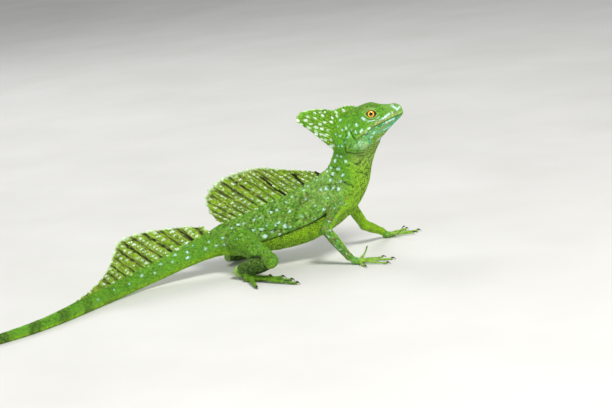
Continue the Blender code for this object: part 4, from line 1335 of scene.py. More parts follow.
class Tree:
    """Short ways to add nodes and links to a node tree."""

    def __init__(self, tree):
        self.tree = tree

    def node(self, kind, **values):
        """A new node with some of its values set."""
        made = self.tree.nodes.new(kind)
        for key, value in values.items():
            setattr(made, key, value)
        return made

    def link(self, source, target):
        self.tree.links.new(source, target)

    def feed(self, socket, value):
        """Links a socket to another, or sets its value."""
        if isinstance(value, bpy.types.NodeSocket):
            self.link(value, socket)
        else:
            socket.default_value = (*value, 1) if socket.type == "RGBA" else value

    def mixed(self, factor, first, second):
        """A mix of two colours. Each may be a socket or a value."""
        made = self.node("ShaderNodeMix", data_type="RGBA")
        colours = [s for s in made.inputs if s.type == "RGBA"]
        factors = [s for s in made.inputs if s.type == "VALUE"]
        for socket, value in ((factors[0], factor), (colours[0], first), (colours[1], second)):
            self.feed(socket, value)
        return [s for s in made.outputs if s.type == "RGBA"][0]

    def maths(self, operation, first, second):
        """A sum of two values."""
        made = self.node("ShaderNodeMath", operation=operation)
        self.feed(made.inputs[0], first)
        self.feed(made.inputs[1], second)
        return made.outputs[0]

    def times(self, first, second):
        """One value times another."""
        return self.maths("MULTIPLY", first, second)

    def ranged(self, value, low, high, to_low=0.0, to_high=1.0):
        """A value carried from one range to another."""
        made = self.node("ShaderNodeMapRange")
        self.feed(made.inputs["Value"], value)
        for name, number in (("From Min", low), ("From Max", high), ("To Min", to_low), ("To Max", to_high)):
            made.inputs[name].default_value = number
        return made.outputs["Result"]

    def noise(self, scale, detail=3.0, vector=None, roughness=0.55):
        """Soft random values."""
        made = self.node("ShaderNodeTexNoise")
        for name, value in (("Scale", scale), ("Detail", detail), ("Roughness", roughness)):
            made.inputs[name].default_value = value
        self.link(vector or self.place(), made.inputs["Vector"])
        return made.outputs["Fac"]

    def cells(self, scale, centre, edge):
        """Small round cells: a value at their centres, which falls to 0 at that distance from them."""
        made = self.node("ShaderNodeTexVoronoi")
        made.inputs["Scale"].default_value = scale
        self.link(self.place(), made.inputs["Vector"])
        return self.ranged(made.outputs["Distance"], 0.0, edge, centre, 0.0)

    def relief(self, shader, height, strength, depth):
        """Fine bumps of a material."""
        made = self.node("ShaderNodeBump")
        made.inputs["Strength"].default_value = strength
        made.inputs["Distance"].default_value = depth
        self.link(height, made.inputs["Height"])
        self.link(made.outputs["Normal"], shader["Normal"])

    def place(self):
        """Places on the object, from the one node that gives them."""
        for node in self.tree.nodes:
            if node.type == "TEX_COORD":
                return node.outputs["Object"]
        return self.node("ShaderNodeTexCoord").outputs["Object"]

    def layer(self, name):
        """The four channels of a colour layer."""
        made = self.node("ShaderNodeAttribute", attribute_type="GEOMETRY", attribute_name=name)
        split = self.node("ShaderNodeSeparateColor")
        self.link(made.outputs["Color"], split.inputs["Color"])
        return (*split.outputs[:3], made.outputs["Alpha"])


def socket_title(name):
    """The name that a layer or a colour has on the hide's node."""
    return name.replace("_", " ").capitalize()


def put_colours(sockets, colours):
    """Sets the sockets that are named after the settings' colours."""
    for name in colours.__annotations__:
        sockets[socket_title(name)].default_value = (*getattr(colours, name), 1)


def hide_group():
    """Colour of the living hide from its two layers of markings, with fine mottling."""
    found = bpy.data.node_groups.get("hide_colour")
    if found is not None:
        return found
    made = bpy.data.node_groups.new("hide_colour", "ShaderNodeTree")
    colours = bpy.context.scene.basilisk_hide
    sockets = [(socket_title(name), "INPUT", "NodeSocketColor") for name in colours.__annotations__]
    sockets += [(socket_title(name), "INPUT", "NodeSocketFloat") for name in (*LAYERS, "mottling")]
    sockets += [("Color", "OUTPUT", "NodeSocketColor"), ("Gloss mask", "OUTPUT", "NodeSocketFloat")]
    items = {
        name: made.interface.new_socket(name, in_out=way, socket_type=kind) for name, way, kind in sockets
    }
    items["Mottling"].default_value = 1.0
    put_colours(items, colours)
    tree = Tree(made)
    given, out = tree.node("NodeGroupInput").outputs, tree.node("NodeGroupOutput").inputs
    broad = tree.ranged(tree.noise(140.0, 4.0), 0.3, 0.7)
    fine = tree.ranged(tree.noise(620.0), 0.32, 0.68)
    specks = tree.times(tree.ranged(tree.noise(1050.0, 2.0), 0.46, 0.62), given["Mottling"])
    tint = tree.mixed(broad, given["Green"], given["Leaf"])
    for mask, shade in (
        (tree.times(given["Bright"], 0.8), "Bright green"), (given["Yellow"], "Belly"),
        (tree.times(given["Olive"], tree.ranged(fine, 0.0, 1.0, 0.55, 1.0)), "Olive shade"),
        (tree.times(specks, 0.5), "Speck"), (tree.times(tree.cells(430.0, 1.0, 0.5), 0.3), "Light"),
        (given["Turquoise"], "Jaw"), (given["Blush"], "Lip"), (given["Cream"], "Cream shade"),
        (given["Pale"], "Spot"), (given["Dark"], "Line"),
    ):
        tint = tree.mixed(mask, tint, given[shade])
    tree.link(tint, out["Color"])
    tree.link(fine, out["Gloss mask"])
    return made


def new_material(name):
    """A material, its node tree and the inputs of its shader."""
    old = bpy.data.materials.get(name)
    if old is not None:
        bpy.data.materials.remove(old)
    made = bpy.data.materials.new(name)
    made.use_nodes = True
    return made, Tree(made.node_tree), made.node_tree.nodes["Principled BSDF"].inputs


def hide_material(name, cells, strength, depth, roughness, gloss, colours=None):
    """A material of the hide. cells is a list of (scale, weight) for the fine relief, and roughness
    has its least and most. A crest has colours of its own for some of the hide's."""
    made, tree, shader = new_material(name)
    node = tree.node("ShaderNodeGroup", node_tree=hide_group())
    if colours is not None:
        put_colours(node.inputs, colours)
    for layer, titles in (("marks", LAYERS[:4]), ("tints", LAYERS[4:])):
        for socket, title in zip(tree.layer(layer), titles):
            tree.link(socket, node.inputs[socket_title(title)])
    tree.link(node.outputs["Color"], shader["Base Color"])
    tree.link(tree.ranged(node.outputs["Gloss mask"], 0.0, 1.0, *roughness), shader["Roughness"])
    shader["Specular IOR Level"].default_value = gloss
    height = [tree.cells(scale, weight, 0.6) for scale, weight in cells]
    height = height[0] if len(height) == 1 else tree.maths("ADD", *height)
    tree.relief(shader, height, strength, depth)
    return made


def eye_material():
    """Iris rings and threads round a black pupil, from the eye's own flat map."""
    made, tree, shader = new_material("basilisk_eye")
    colours = bpy.context.scene.basilisk_eye
    flat = tree.node("ShaderNodeAttribute", attribute_type="GEOMETRY", attribute_name="gaze")
    gaze = flat.outputs["Vector"]
    length = tree.node("ShaderNodeVectorMath", operation="LENGTH")
    direction = tree.node("ShaderNodeVectorMath", operation="NORMALIZE")
    for node in (length, direction):
        tree.link(gaze, node.inputs[0])
    radius = length.outputs["Value"]
    threads = tree.noise(9.0, 5.0, direction.outputs["Vector"], 0.7)
    flecks = tree.ranged(tree.noise(2.2, 3.0, gaze), 0.3, 0.7, 0.4, 1.0)
    iris = tree.mixed(tree.ranged(threads, 0.35, 0.65), colours.iris, colours.threads)
    for mask, colour in (
        (tree.times(tree.ranged(radius, 1.8, 2.5, 1.0, 0.0), 0.95), colours.inner_ring),
        (tree.times(tree.ranged(radius, 2.3, 2.9), flecks), colours.outer_ring),
        (tree.ranged(radius, 2.85, 3.1), colours.rim),
        (tree.ranged(radius, 1.45, 1.62, 1.0, 0.0), colours.pupil),
    ):
        iris = tree.mixed(mask, iris, colour)
    tree.link(iris, shader["Base Color"])
    for name, value in (
        ("Roughness", 0.05), ("Specular IOR Level", 0.45), ("Coat Weight", 0.35), ("Coat Roughness", 0.03),
    ):
        shader[name].default_value = value
    return made


def claw_material():
    """Dark horn, paler at the root, with fine grain."""
    made, tree, shader = new_material("basilisk_claw")
    colours = bpy.context.scene.basilisk_claw
    root = tree.ranged(tree.layer("claw_share")[0], 0.0, 0.35, 0.6, 0.0)
    grain = tree.noise(1500.0, 4.0)
    horn = tree.mixed(tree.ranged(grain, 0.35, 0.65), colours.horn, colours.grain)
    tree.link(tree.mixed(root, horn, colours.root), shader["Base Color"])
    shader["Roughness"].default_value = 0.32
    tree.relief(shader, grain, 0.3, 0.0001)
    return made


def stage_material():
    """Plain pale paper."""
    made, tree, shader = new_material("stage_paper")
    stage = bpy.context.scene.basilisk_stage
    shade = tree.ranged(tree.noise(6.0), 0.3, 0.7)
    tree.link(tree.mixed(shade, stage.paper_shade, stage.paper), shader["Base Color"])
    shader["Roughness"].default_value = 0.85
    shader["Specular IOR Level"].default_value = 0.2
    return made


# ---------------------------------------------------------------- skin


def flesh_nodes():
    """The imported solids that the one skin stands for."""
    names = ["head", "lower_jaw", "neck", "trunk", *(f"tail_{k}" for k in range(1, 6))]
    for part in ("upper_arm", "forearm", "hand", "thigh", "shank", "foot"):
        names += [f"{part}_{side}" for side in SIDES]
    return names


SHELL_RING = 96  # points round the body and round the head


def rough_shell(depth):
    """All parts of the flesh as overlapping closed tubes, that much inside their true size."""
    shell = Shell()
    stations = np.concatenate([np.arange(0, 8, 0.045), np.arange(8, LAST_STATION - 0.02, 0.07)])
    angles = np.linspace(0, 2 * math.pi, SHELL_RING, endpoint=False)
    rings = np.array([BODY.surface(np.full(SHELL_RING, s), angles, -depth) for s in stations])
    shell.add_tube(rings[:, ::-1])
    shares = np.linspace(0, 2, SHELL_RING, endpoint=False)
    places = np.concatenate([np.linspace(0.72, -4, 14), np.arange(-4.6, -63, -0.6)])
    rings = np.array([head_points(SKULL.surface(np.full(SHELL_RING, a), shares)) for a in places])
    shell.add_tube(rings)
    for limb in LIMB_LIST:
        for i, tube in enumerate(limb.tubes()):
            shell.add_tube(tube.rings(20, -depth * 0.4) if i > 2 else tube.rings(40, -depth))
        shell.add_tube(limb.pad_shell())
    return shell


def build_skin(settings):
    """One closed skin over all the flesh."""
    depth = settings.coat_depth / MM
    piece = new_piece("skin", rough_shell(depth).mesh("skin"), None)
    voxel = settings.voxel * 1.0
    modified(piece, "REMESH", mode="VOXEL", voxel_size=voxel, adaptivity=0.0)
    mesh = piece.data
    refine(mesh)
    points = points_of(mesh)
    for _ in range(2):
        where = Places(points)
        step = np.clip(where.whole + depth, -1.6, 1.2)
        points = points - normals_of(mesh) * step[:, None] * 0.9
        put_points(mesh, points)
    where = Places(points)
    points = soften(mesh, points, np.clip(0.5 * where.joint + 0.06, 0, 0.5), 8)
    put_points(mesh, points)
    where = Places(points)
    points = points + normals_of(mesh) * relief(points, where)[:, None]
    points = carve_eyes(points, where)
    points[:, 2] = np.maximum(points[:, 2], OVER_FLOOR)
    put_points(mesh, points)
    faces = sum(len(p.vertices) - 2 for p in mesh.polygons)
    if faces > settings.most_triangles:
        modified(piece, "DECIMATE", ratio=settings.most_triangles / faces)
    mesh = piece.data
    points = points_of(mesh)
    first, second = markings(points, normals_of(mesh))
    put_layer(mesh, "marks", first)
    put_layer(mesh, "tints", second)
    mesh.materials.clear()
    mesh.materials.append(hide_material(
        "basilisk_skin", ((1150.0, 0.7), (520.0, 0.3)),
        strength=0.6, depth=0.0003, roughness=(0.43, 0.6), gloss=0.32,
    ))
    mesh.shade_smooth()
    return piece


def refine(mesh):
    """Splits the faces of the head in four."""
    bm = bmesh.new()
    bm.from_mesh(mesh)
    centres = from_frame(np.array([f.calc_center_median() for f in bm.faces]))
    local = head_local(centres)
    inside = (local[:, 0] > -58) & (np.abs(SKULL.outside(local)) < 1.2)
    bm.faces.ensure_lookup_table()
    chosen = {e for i in np.nonzero(inside)[0] for e in bm.faces[i].edges}
    bmesh.ops.subdivide_edges(bm, edges=list(chosen), cuts=1, use_grid_fill=True)
    bm.to_mesh(mesh)
    bm.free()


# ---------------------------------------------------------------- scales


# A scale of length and width 1, with its tip to the front: rim, ridge, and the faces between them.
SCALE_RIM = ((-0.52, 0.0, -0.20), (-0.22, 0.47, -0.16), (0.30, 0.45, -0.04), (0.68, 0.0, 0.12),
             (0.30, -0.45, -0.04), (-0.22, -0.47, -0.16))
SCALE_TOP = ((-0.20, 0.0, 0.30), (0.40, 0.0, 0.34))
SCALE_FACES = ((0, 6, 1), (1, 6, 7, 2), (2, 7, 3), (3, 7, 4), (4, 7, 6, 5), (5, 6, 0), (0, 1, 2, 3),
               (0, 3, 4, 5))
PATCH = 0.003  # each scale's share of the bake map, across


def scale_shape(name, keel=1.0, round_share=0.0):
    """One closed scale: a leaf, pointed to the rear, with a keel. It can be rounded to a bead."""
    rim = [(x * (1 - 0.25 * round_share), y, z * (1 - 0.6 * round_share)) for x, y, z in SCALE_RIM]
    top = [(x * (1 - 0.3 * round_share), y, z * keel) for x, y, z in SCALE_TOP]
    return new_shape(name, [*rim, *top], [face[::-1] for face in SCALE_FACES])


def plate_shape(name):
    """One closed lip plate: a flat, rounded rectangle with a soft dome."""
    turns = np.linspace(0, 2 * math.pi, 12, endpoint=False)
    ring = [
        [0.5 * math.copysign(abs(value) ** 0.6, value) for value in (math.cos(t), math.sin(t))] for t in turns
    ]
    levels = ((0.92, -0.5), (1.0, 0.05), (0.68, 0.42))
    points = [(x * size, y * size, z) for size, z in levels for x, y in ring]
    points += [(0, 0, -0.5), (0, 0, 0.52)]
    faces = []
    for k in range(12):
        j = (k + 1) % 12
        faces += [(k, j, 12 + j, 12 + k), (12 + k, 12 + j, 24 + j, 24 + k), (24 + k, 24 + j, 37), (j, k, 36)]
    return new_shape(name, points, faces)


def new_shape(name, points, faces):
    """A closed shape to be set on points, with its outline kept for the bake map."""
    mesh = bpy.data.meshes.new(name)
    mesh.from_pydata(points, [], faces)
    mesh.update()
    put_vectors(mesh, "leaf", [(x, y, 0) for x, y, _ in points])
    return linked(name, mesh)


def coat_tree():
    """Geometry nodes that set one scale on every point, then write its patch of the bake map."""
    found = bpy.data.node_groups.get("coat_of_scales")
    if found is not None:
        return found
    tree = bpy.data.node_groups.new("coat_of_scales", "GeometryNodeTree")
    for name, way, kind in (
        ("Geometry", "INPUT", "Geometry"), ("Scale shape", "INPUT", "Object"),
        ("Patch size", "INPUT", "Float"), ("Material", "INPUT", "Material"),
        ("Geometry", "OUTPUT", "Geometry"),
    ):
        tree.interface.new_socket(name, in_out=way, socket_type="NodeSocket" + kind)
    made = Tree(tree)
    given, out = made.node("NodeGroupInput").outputs, made.node("NodeGroupOutput").inputs

    def attribute(name):
        node = made.node("GeometryNodeInputNamedAttribute", data_type="FLOAT_VECTOR")
        node.inputs["Name"].default_value = name
        return node.outputs["Attribute"]

    def step(kind, geometry, entry="Geometry", **values):
        node = made.node("GeometryNode" + kind, **values)
        made.link(geometry, node.inputs[entry])
        return node

    shape = made.node("GeometryNodeObjectInfo")
    made.link(given["Scale shape"], shape.inputs["Object"])
    turn = made.node("FunctionNodeEulerToRotation")
    made.link(attribute("turn"), turn.inputs[0])
    spread = step("InstanceOnPoints", given["Geometry"], "Points")
    made.link(shape.outputs["Geometry"], spread.inputs["Instance"])
    made.link(turn.outputs[0], spread.inputs["Rotation"])
    made.link(attribute("size"), spread.inputs["Scale"])
    real = step("RealizeInstances", spread.outputs["Instances"])
    patch = made.node("ShaderNodeVectorMath", operation="MULTIPLY_ADD")
    widen = made.node("ShaderNodeCombineXYZ")
    for axis in ("X", "Y"):
        made.link(given["Patch size"], widen.inputs[axis])
    for number, source in enumerate((attribute("leaf"), widen.outputs[0], attribute("root"))):
        made.link(source, patch.inputs[number])
    last = step("StoreNamedAttribute", real.outputs["Geometry"], data_type="FLOAT2", domain="CORNER")
    last.inputs["Name"].default_value = "OFBake"
    made.link(patch.outputs["Vector"], [s for s in last.inputs if s.enabled and s.name == "Value"][0])
    for name in ("turn", "size", "leaf", "root"):
        last = step("RemoveAttribute", last.outputs["Geometry"])
        last.inputs["Name"].default_value = name
    last = step("SetMaterial", last.outputs["Geometry"])
    made.link(given["Material"], last.inputs["Material"])
    made.link(last.outputs["Geometry"], out["Geometry"])
    return tree


def sockets_of(tree):
    """The identifier of each named input."""
    return {
        item.name: item.identifier for item in tree.interface.items_tree
        if item.item_type == "SOCKET" and item.in_out == "INPUT"
    }


class Coat:
    """The finished skin, on which the scales' roots are found."""

    def __init__(self, skin):
        mesh = skin.data
        self.points, self.normals = points_of(mesh), normals_of(mesh)
        mesh.calc_loop_triangles()
        self.corners = table_of(mesh.loop_triangles, "vertices", 3, int)
        self.tree = BVHTree.FromPolygons(self.points.tolist(), self.corners.tolist(), all_triangles=True)

    def on_skin(self, points):
        """The nearest place of the skin for each point, its normal, and how far it is."""
        found, index, away = [], [], []
        for point in points:
            place, _, i, distance = self.tree.find_nearest(point)
            found.append(place)
            index.append(i)
            away.append(distance)
        found, index = np.array(found), np.array(index)
        corners = self.corners[index]
        near = np.linalg.norm(self.points[corners] - found[:, None], axis=2) + 0.05
        weight = (1 / near) / (1 / near).sum(1, keepdims=True)
        return found, unit((self.normals[corners] * weight[..., None]).sum(1)), np.array(away)

    def cast(self, a, side, c):
        """Places of the head's skin and their normals, seen from the side at a place along it and height."""
        found, index = [], []
        for start, sign in zip(head_points(np.stack([a, side * 25.0, c], -1)), side):
            place, _, i, _ = self.tree.ray_cast(start, Vector(-sign * HEAD_AXES[:, 1]))
            found.append(place if place is not None else (0, 0, 1e3))
            index.append(i or 0)
        found, corners = np.array(found), self.corners[index]
        return found, unit(self.normals[corners].sum(1))


def rim_of(shape):
    """How near each point of a scale is to its rim, from 0 to 1."""
    height = np.array([vertex.co.z for vertex in shape.data.vertices])
    return 1 - ramp(0.6, 0.9, (height - height.min()) / np.ptp(height))


def shade_rims(mesh, edge, darker, browner):
    """Darkens the scales' rims with painted shade and adds brown to them, both less on pale scales."""
    first, second = (table_of(mesh.attributes[title].data, "color", 4) for title in ("marks", "tints"))
    edge = edge * (1 - 0.75 * first[:, 0])
    first[:, 2] = np.clip(first[:, 2] + darker * edge, 0, 1)
    second[:, 1] = np.clip(second[:, 1] + browner * edge, 0, 1)
    for title, values in (("marks", first), ("tints", second)):
        mesh.attributes[title].data.foreach_set("color", values.ravel())


def scatter(name, roots, shape, material, play=1.0, rim=(0.3, 0.0), colours=None):
    """One piece of coat. roots holds for each scale its place, the skin's normal, the lie of the
    coat, length, width and thickness, and its place on the unwrap. play is how far single scales
    differ in tone, and rim how much painted shade darkens their rims and how brown the rims are."""
    found, normal, lie, size, root = roots
    along = unit(lie - normal * dot(lie, normal)[:, None])
    across = np.cross(normal, along)
    turn = np.stack([
        np.arctan2(across[:, 2], normal[:, 2]),
        -np.arcsin(np.clip(along[:, 2], -1, 1)),
        np.arctan2(along[:, 1], along[:, 0]),
    ], -1)
    mesh = bpy.data.meshes.new(name)
    mesh.from_pydata(to_frame(found).tolist(), [], [])
    first, second = colours or markings(found, normal)
    rng = np.random.default_rng(len(found))
    for layer, column, spread in ((first, 3, 0.2), (second, 2, 0.22), (first, 1, 0.1)):
        layer[:, column] = np.clip(layer[:, column] + rng.normal(0, spread * play, len(found)), 0, 1)
    first[:, 2] = np.clip(first[:, 2] + 0.3 * play * (rng.uniform(0, 1, len(found)) > 0.88), 0, 1)
    put_layer(mesh, "marks", first)
    put_layer(mesh, "tints", second)
    put_vectors(mesh, "turn", turn)
    put_vectors(mesh, "size", np.asarray(size) * MM)
    put_vectors(mesh, "root", np.concatenate([root, np.zeros((len(root), 1))], 1))
    seeds = linked(name + "_roots", mesh)
    modifier = seeds.modifiers.new("coat", "NODES")
    modifier.node_group = coat_tree()
    names = sockets_of(modifier.node_group)
    for title, value in (("Scale shape", shape), ("Patch size", PATCH), ("Material", material)):
        modifier[names[title]] = value
    made = evaluated_mesh(seeds)
    shade_rims(made, np.tile(rim_of(shape), len(found)), *rim)
    bpy.data.objects.remove(seeds)
    points = points_of(made)
    points[:, 2] = np.maximum(points[:, 2], OVER_FLOOR)
    put_points(made, points)
    return new_piece(name, made, material)


def lattice(rows, count_at):
    """Row and column places of scales set like bricks, one row after another."""
    row_of, share = [], []
    for i, row in enumerate(rows):
        count = count_at(row)
        row_of.append(np.full(count, row))
        share.append((np.arange(count) + 0.5 * (i % 2)) / count)
    return np.concatenate(row_of), np.concatenate(share)


BODY_COLUMNS = ((2.6, 84), (8.6, 92), (11.5, 64), (15.0, 48), (20.0, 36), (27.0, 28), (34.0, 22), (41.0, 16))


NECK_COLUMNS, BELLY_COLUMNS = 76, 64
BELLY_SPAN = (3.3, 7.5)  # stations
TRUNK_END = 8.4
ROOT_HEIGHT = 0.25  # scales closer to the floor are left out


def body_columns(station):
    """Scales round the body at a station."""
    return next((count for last, count in BODY_COLUMNS if station < last), 12)


def body_roots(coat, start, end, pitch, columns_at):
    """Scales of neck, trunk and tail between two stations."""
    low, high = BODY.take(BODY.length, np.array([start, end]))
    lengths = [low]
    while lengths[-1] < high:
        lengths.append(lengths[-1] + pitch(np.interp(lengths[-1], BODY.length, BODY.at)))
    station, share = lattice(np.interp(lengths, BODY.length, BODY.at), columns_at)
    angle = share * 2 * math.pi
    raw = BODY.surface(station, angle, -0.2)
    found, normal, away = coat.on_skin(raw)
    outs = Places(found).outs
    keep = (outs[0] < outs.min(0) + 0.5) & (away < 4.5) & (found[:, 2] > ROOT_HEIGHT)
    radius = np.linalg.norm(raw - BODY.take(BODY.mid, station), axis=1)
    width = 2 * math.pi * radius / np.array([columns_at(s) for s in station])
    root = inset(np.stack([(BODY.take(BODY.length, station) - low) / (high - low), share], -1))
    roots = found, normal, -BODY.take(BODY.along, station), width, np.vectorize(pitch)(station), root
    return [part[keep] for part in (*roots, angle, station)]


def on_belly(angle, station):
    """True under the fold between flank and belly."""
    under = lift_of(angle) < curve(FLANK_FOLD, station) - 2.0
    return under & (station > BELLY_SPAN[0]) & (station < BELLY_SPAN[1])


def everywhere(angle, station):
    """Picks every scale of a piece of the body."""
    return np.full(len(angle), True)


def right_flank(angle, station):
    """Picks the scales of the right flank."""
    return (np.cos(angle) < 0) & ~on_belly(angle, station)


def left_flank(angle, station):
    """Picks the scales of the left flank."""
    return (np.cos(angle) >= 0) & ~on_belly(angle, station)


def trunk_pitch(s):
    """Length of a row of scales on the trunk."""
    return 1.25 if s > 3.4 else 1.05 + 0.2 * max(0.0, s - 2.4)


def tail_pitch(s):
    """The same on the tail."""
    return 1.3 + 0.35 * min(1.0, max(0.0, (s - 9) / 8)) - 0.5 * max(0.0, (s - 30) / 18)


def build_coat(skin):
    """Every piece of the hide's scales."""
    coat = Coat(skin)
    leaf, bead = scale_shape("scale_leaf"), scale_shape("scale_bead", 0.85, 1.0)
    plate = plate_shape("scale_plate")
    hide = hide_material(
        "basilisk_scales", ((2100.0, 1.0),), strength=0.35, depth=0.0003, roughness=(0.4, 0.57), gloss=0.32,
    )
    made = []

    def body_piece(name, start, end, pitch, shape, pick, columns=body_columns, spread=(1.55, 1.16), rim=0.3):
        *roots, width, spacing, root, angle, station = body_roots(coat, start, end, pitch, columns)
        size = np.stack([spacing * spread[0], width * spread[1], 0.62 * np.clip(width / 1.2, 0.5, 1.15)], -1)
        keep = pick(angle, station)
        made.append(scatter(name, [part[keep] for part in (*roots, size, root)], shape, hide, rim=(rim, 0.0)))

    body_piece(
        "coat_neck", 0.0, NECK_ROOT, lambda s: 1.15, bead, everywhere,
        columns=lambda s: NECK_COLUMNS, rim=0.5,
    )
    body_piece("coat_trunk_right", NECK_ROOT, TRUNK_END, trunk_pitch, leaf, right_flank)
    body_piece("coat_trunk_left", NECK_ROOT, TRUNK_END, trunk_pitch, leaf, left_flank)
    body_piece(
        "coat_belly", *BELLY_SPAN, lambda s: 1.9, leaf, on_belly,
        columns=lambda s: BELLY_COLUMNS, spread=(1.2, 0.92), rim=0.75,
    )
    body_piece("coat_tail", TRUNK_END, LAST_STATION - 0.1, tail_pitch, leaf, everywhere)
    made += [head_coat(coat, bead, hide), lid_coat(coat, bead, hide), plate_coat(coat, plate, hide)]
    made += [fringe_coat(leaf, hide), *limb_coats(coat, leaf, hide)]
    made.append(joint_coat(coat, made, leaf, hide))
    for shape in (leaf, bead, plate):
        bpy.data.objects.remove(shape)
    return made


def head_step(a):
    """Length of a scale at a place along the head."""
    return np.where(a < -30, 1.05, 0.95)


def head_coat(coat, shape, hide):
    """Small scales of the head. Lids, lips, nostrils and ear drum stay bare of them."""
    rows = [0.7]
    while rows[-1] > -62:
        rows.append(rows[-1] - float(head_step(rows[-1])) * 0.88)

    def count_at(a):
        ring = SKULL.between(SKULL.half, np.array([a]))[0]
        around = 2 * np.linalg.norm(np.diff(ring, axis=0), axis=1).sum()
        return max(8, round(around / float(head_step(a))))

    a, share = lattice(rows[:-1], count_at)
    # Equal steps of arc, not of share.
    half = 1 - np.abs(1 - share * 2)
    grid = np.linspace(0, 1, SKULL.COLUMNS + 1)
    spread = np.array([np.interp(h, row, grid) for h, row in zip(half, SKULL.between(SKULL.arc, a))])
    local = SKULL.surface(a, np.where(share * 2 <= 1, spread, 2 - spread))
    found, normal, away = coat.on_skin(head_points(local))
    where = Places(found)
    face = Face(where.local)
    keep = (where.outs[1] < where.outs.min(0) + 0.5) & (away < 4.0)
    keep &= ~((face.opening < 2.2) & (face.out > 4))
    keep &= ~(in_plate_row(face.a, face.c) & (np.abs(normal @ HEAD_AXES[:, 1]) > PLATE_FACING))
    keep &= ~((np.abs(face.mouth) < 0.55) & (face.a > -47))
    keep &= (face.nostril > 1.15) & (face.drum > 0.92)
    lie = np.tile(-HEAD_AXES[:, 0], (len(found), 1))
    near_eye = ramp(3.4, 1.8, face.opening)
    step = head_step(a) * (1 - 0.2 * near_eye)
    size = np.stack([step * 1.2, step * 1.02, 0.42 - 0.12 * near_eye], -1)
    roots = found, normal, lie, size, head_root(a, share)
    return scatter("coat_head", [part[keep] for part in roots], shape, hide, play=1.2, rim=(0.4, 0.0))


def head_root(a, around):
    """Places on the head's unwrap, from the place along it and the share of the way round."""
    front, back = HEAD[0][0], HEAD[-1][0]
    return inset(np.stack([(front - a) / (front - back), around], -1))


def side_root(a, side, c):
    """The same for places on the sides of the head, from their height."""
    share = [
        np.interp(height, ring[16:, 1][::-1], arc[16:][::-1])
        for height, ring, arc in zip(c, SKULL.between(SKULL.half, a), SKULL.between(SKULL.arc, a))
    ]
    return head_root(a, np.where(side > 0, np.array(share) / 2, 1 - np.array(share) / 2))


# Rings of beads on the lids: distance from the lids' edge, pitch, and height of a bead.
LID_RINGS = ((0.3, 0.62, 0.42), (0.95, 0.85, 0.5), (1.65, 0.9, 0.45))


def lid_coat(coat, shape, hide):
    """Rings of fine beads round the lids: a dark rim, a pale ring and the ring outside it."""
    turn = math.radians(EYE_OPENING["tilt"])
    turned = np.array(((math.cos(turn), math.sin(turn)), (-math.sin(turn), math.cos(turn))))
    fine = np.linspace(0, 2 * math.pi, 721)
    rows = []
    for side, (away, pitch, height) in product(SIDES.values(), LID_RINGS):
        u = (EYE_OPENING["half_length"] + away) * np.cos(fine)
        v = (EYE_OPENING["half_height"] + away) * np.sign(np.sin(fine)) * np.abs(np.sin(fine)) ** 1.35
        arc = np.concatenate([[0], np.cumsum(np.hypot(np.diff(u), np.diff(v)))])
        at = np.linspace(0, arc[-1], round(arc[-1] / pitch), endpoint=False)
        ring = np.stack([np.interp(at, arc, u), np.interp(at, arc, v)], -1)
        steps = np.gradient(ring, axis=0) @ turned
        ring = ring @ turned + EYE_OPENING["centre"]
        rest = np.tile((side, pitch, height), (len(at), 1))
        rows.append(np.concatenate([ring, steps, rest], 1))
    a, c, along, rise, side, pitch, height = np.concatenate(rows).T
    found, normal = coat.cast(a, side, c)
    lie = np.stack([along, np.zeros(len(a)), rise], -1) @ HEAD_AXES.T
    size = np.stack([pitch * 1.35, pitch * 1.15, height], -1)
    return scatter("coat_lids", (found, normal, lie, size, side_root(a, side, c)), shape, hide, play=0.3)


# Rows of plates on the face: the line each row keeps to, where it starts and ends along the head,
# its height over that line, its pitch and its width.
PLATE_ROWS = (
    (MOUTH, -1.6, -43.0, 1.32, 3.3, 1.9), (MOUTH, -1.6, -43.0, -1.32, 3.3, 1.9),
    (MOUTH, -3.4, -41.5, -3.1, 2.7, 1.5), (MOUTH, -8.0, -40.0, -4.7, 2.5, 1.5),
    (MOUTH, -13.5, -38.0, -6.3, 2.5, 1.5), (MOUTH, -9.0, -32.0, 3.0, 2.5, 1.35),
    (CANTHUS, -5.0, -35.0, 0.0, 2.0, 1.4),
)
PLATE_FACING = 0.3


def in_plate_row(a, c):
    """True where a row of plates covers the face."""
    inside = np.zeros(len(a), bool)
    for line, start, end, rise, _, width in PLATE_ROWS:
        near = np.abs(above_line(a, c, line) - rise) < width / 2 + 0.15
        inside |= near & (a < start + 0.6) & (a > end - 0.6)
    return inside


def plate_coat(coat, shape, hide):
    """Plates along both lips, three rows of shields on the jaw, one under the eye and one on the brow."""
    rows = []
    for line, start, end, rise, pitch, width in PLATE_ROWS:
        line = np.array(line)
        count = round((start - end) / pitch)
        a = start - (np.arange(count) + 0.5) * (start - end) / count
        c = np.interp(a, *line.T) + rise
        slope = np.interp(a, line[:, 0], np.gradient(line[:, 1], line[:, 0]))
        narrow = width * (1 - 0.2 * ramp(-8, -2, a)) * (1 - 0.2 * ramp(-34, -43, a))
        for side in SIDES.values():
            rows += zip(a, np.full(count, side), c, slope, np.full(count, pitch), narrow)
    a, side, c, slope, pitch, width = np.array(rows).T
    found, normal = coat.cast(a, side, c)
    lie = -np.stack([np.ones(len(a)), np.zeros(len(a)), slope], -1) @ HEAD_AXES.T
    size = np.stack([pitch * 0.97, width, np.full(len(a), 0.5)], -1)
    keep = (np.abs(normal @ HEAD_AXES[:, 1]) > PLATE_FACING) & (found[:, 2] < 500)
    roots = [part[keep] for part in (found, normal, lie, size, side_root(a, side, c))]
    first, second = markings(*roots[:2])
    rng = np.random.default_rng(9)
    second[:, 0] *= rng.uniform(0.4, 1.0, len(second))
    second[:, 1] += 0.35 * (rng.uniform(0, 1, len(second)) > 0.85)
    return scatter("coat_plates", roots, shape, hide, rim=(0.45, 0.9), colours=(first, second))


FRINGE_PITCH, FRINGE_SIZE = 1.3, (1.5, 1.25, 0.4)


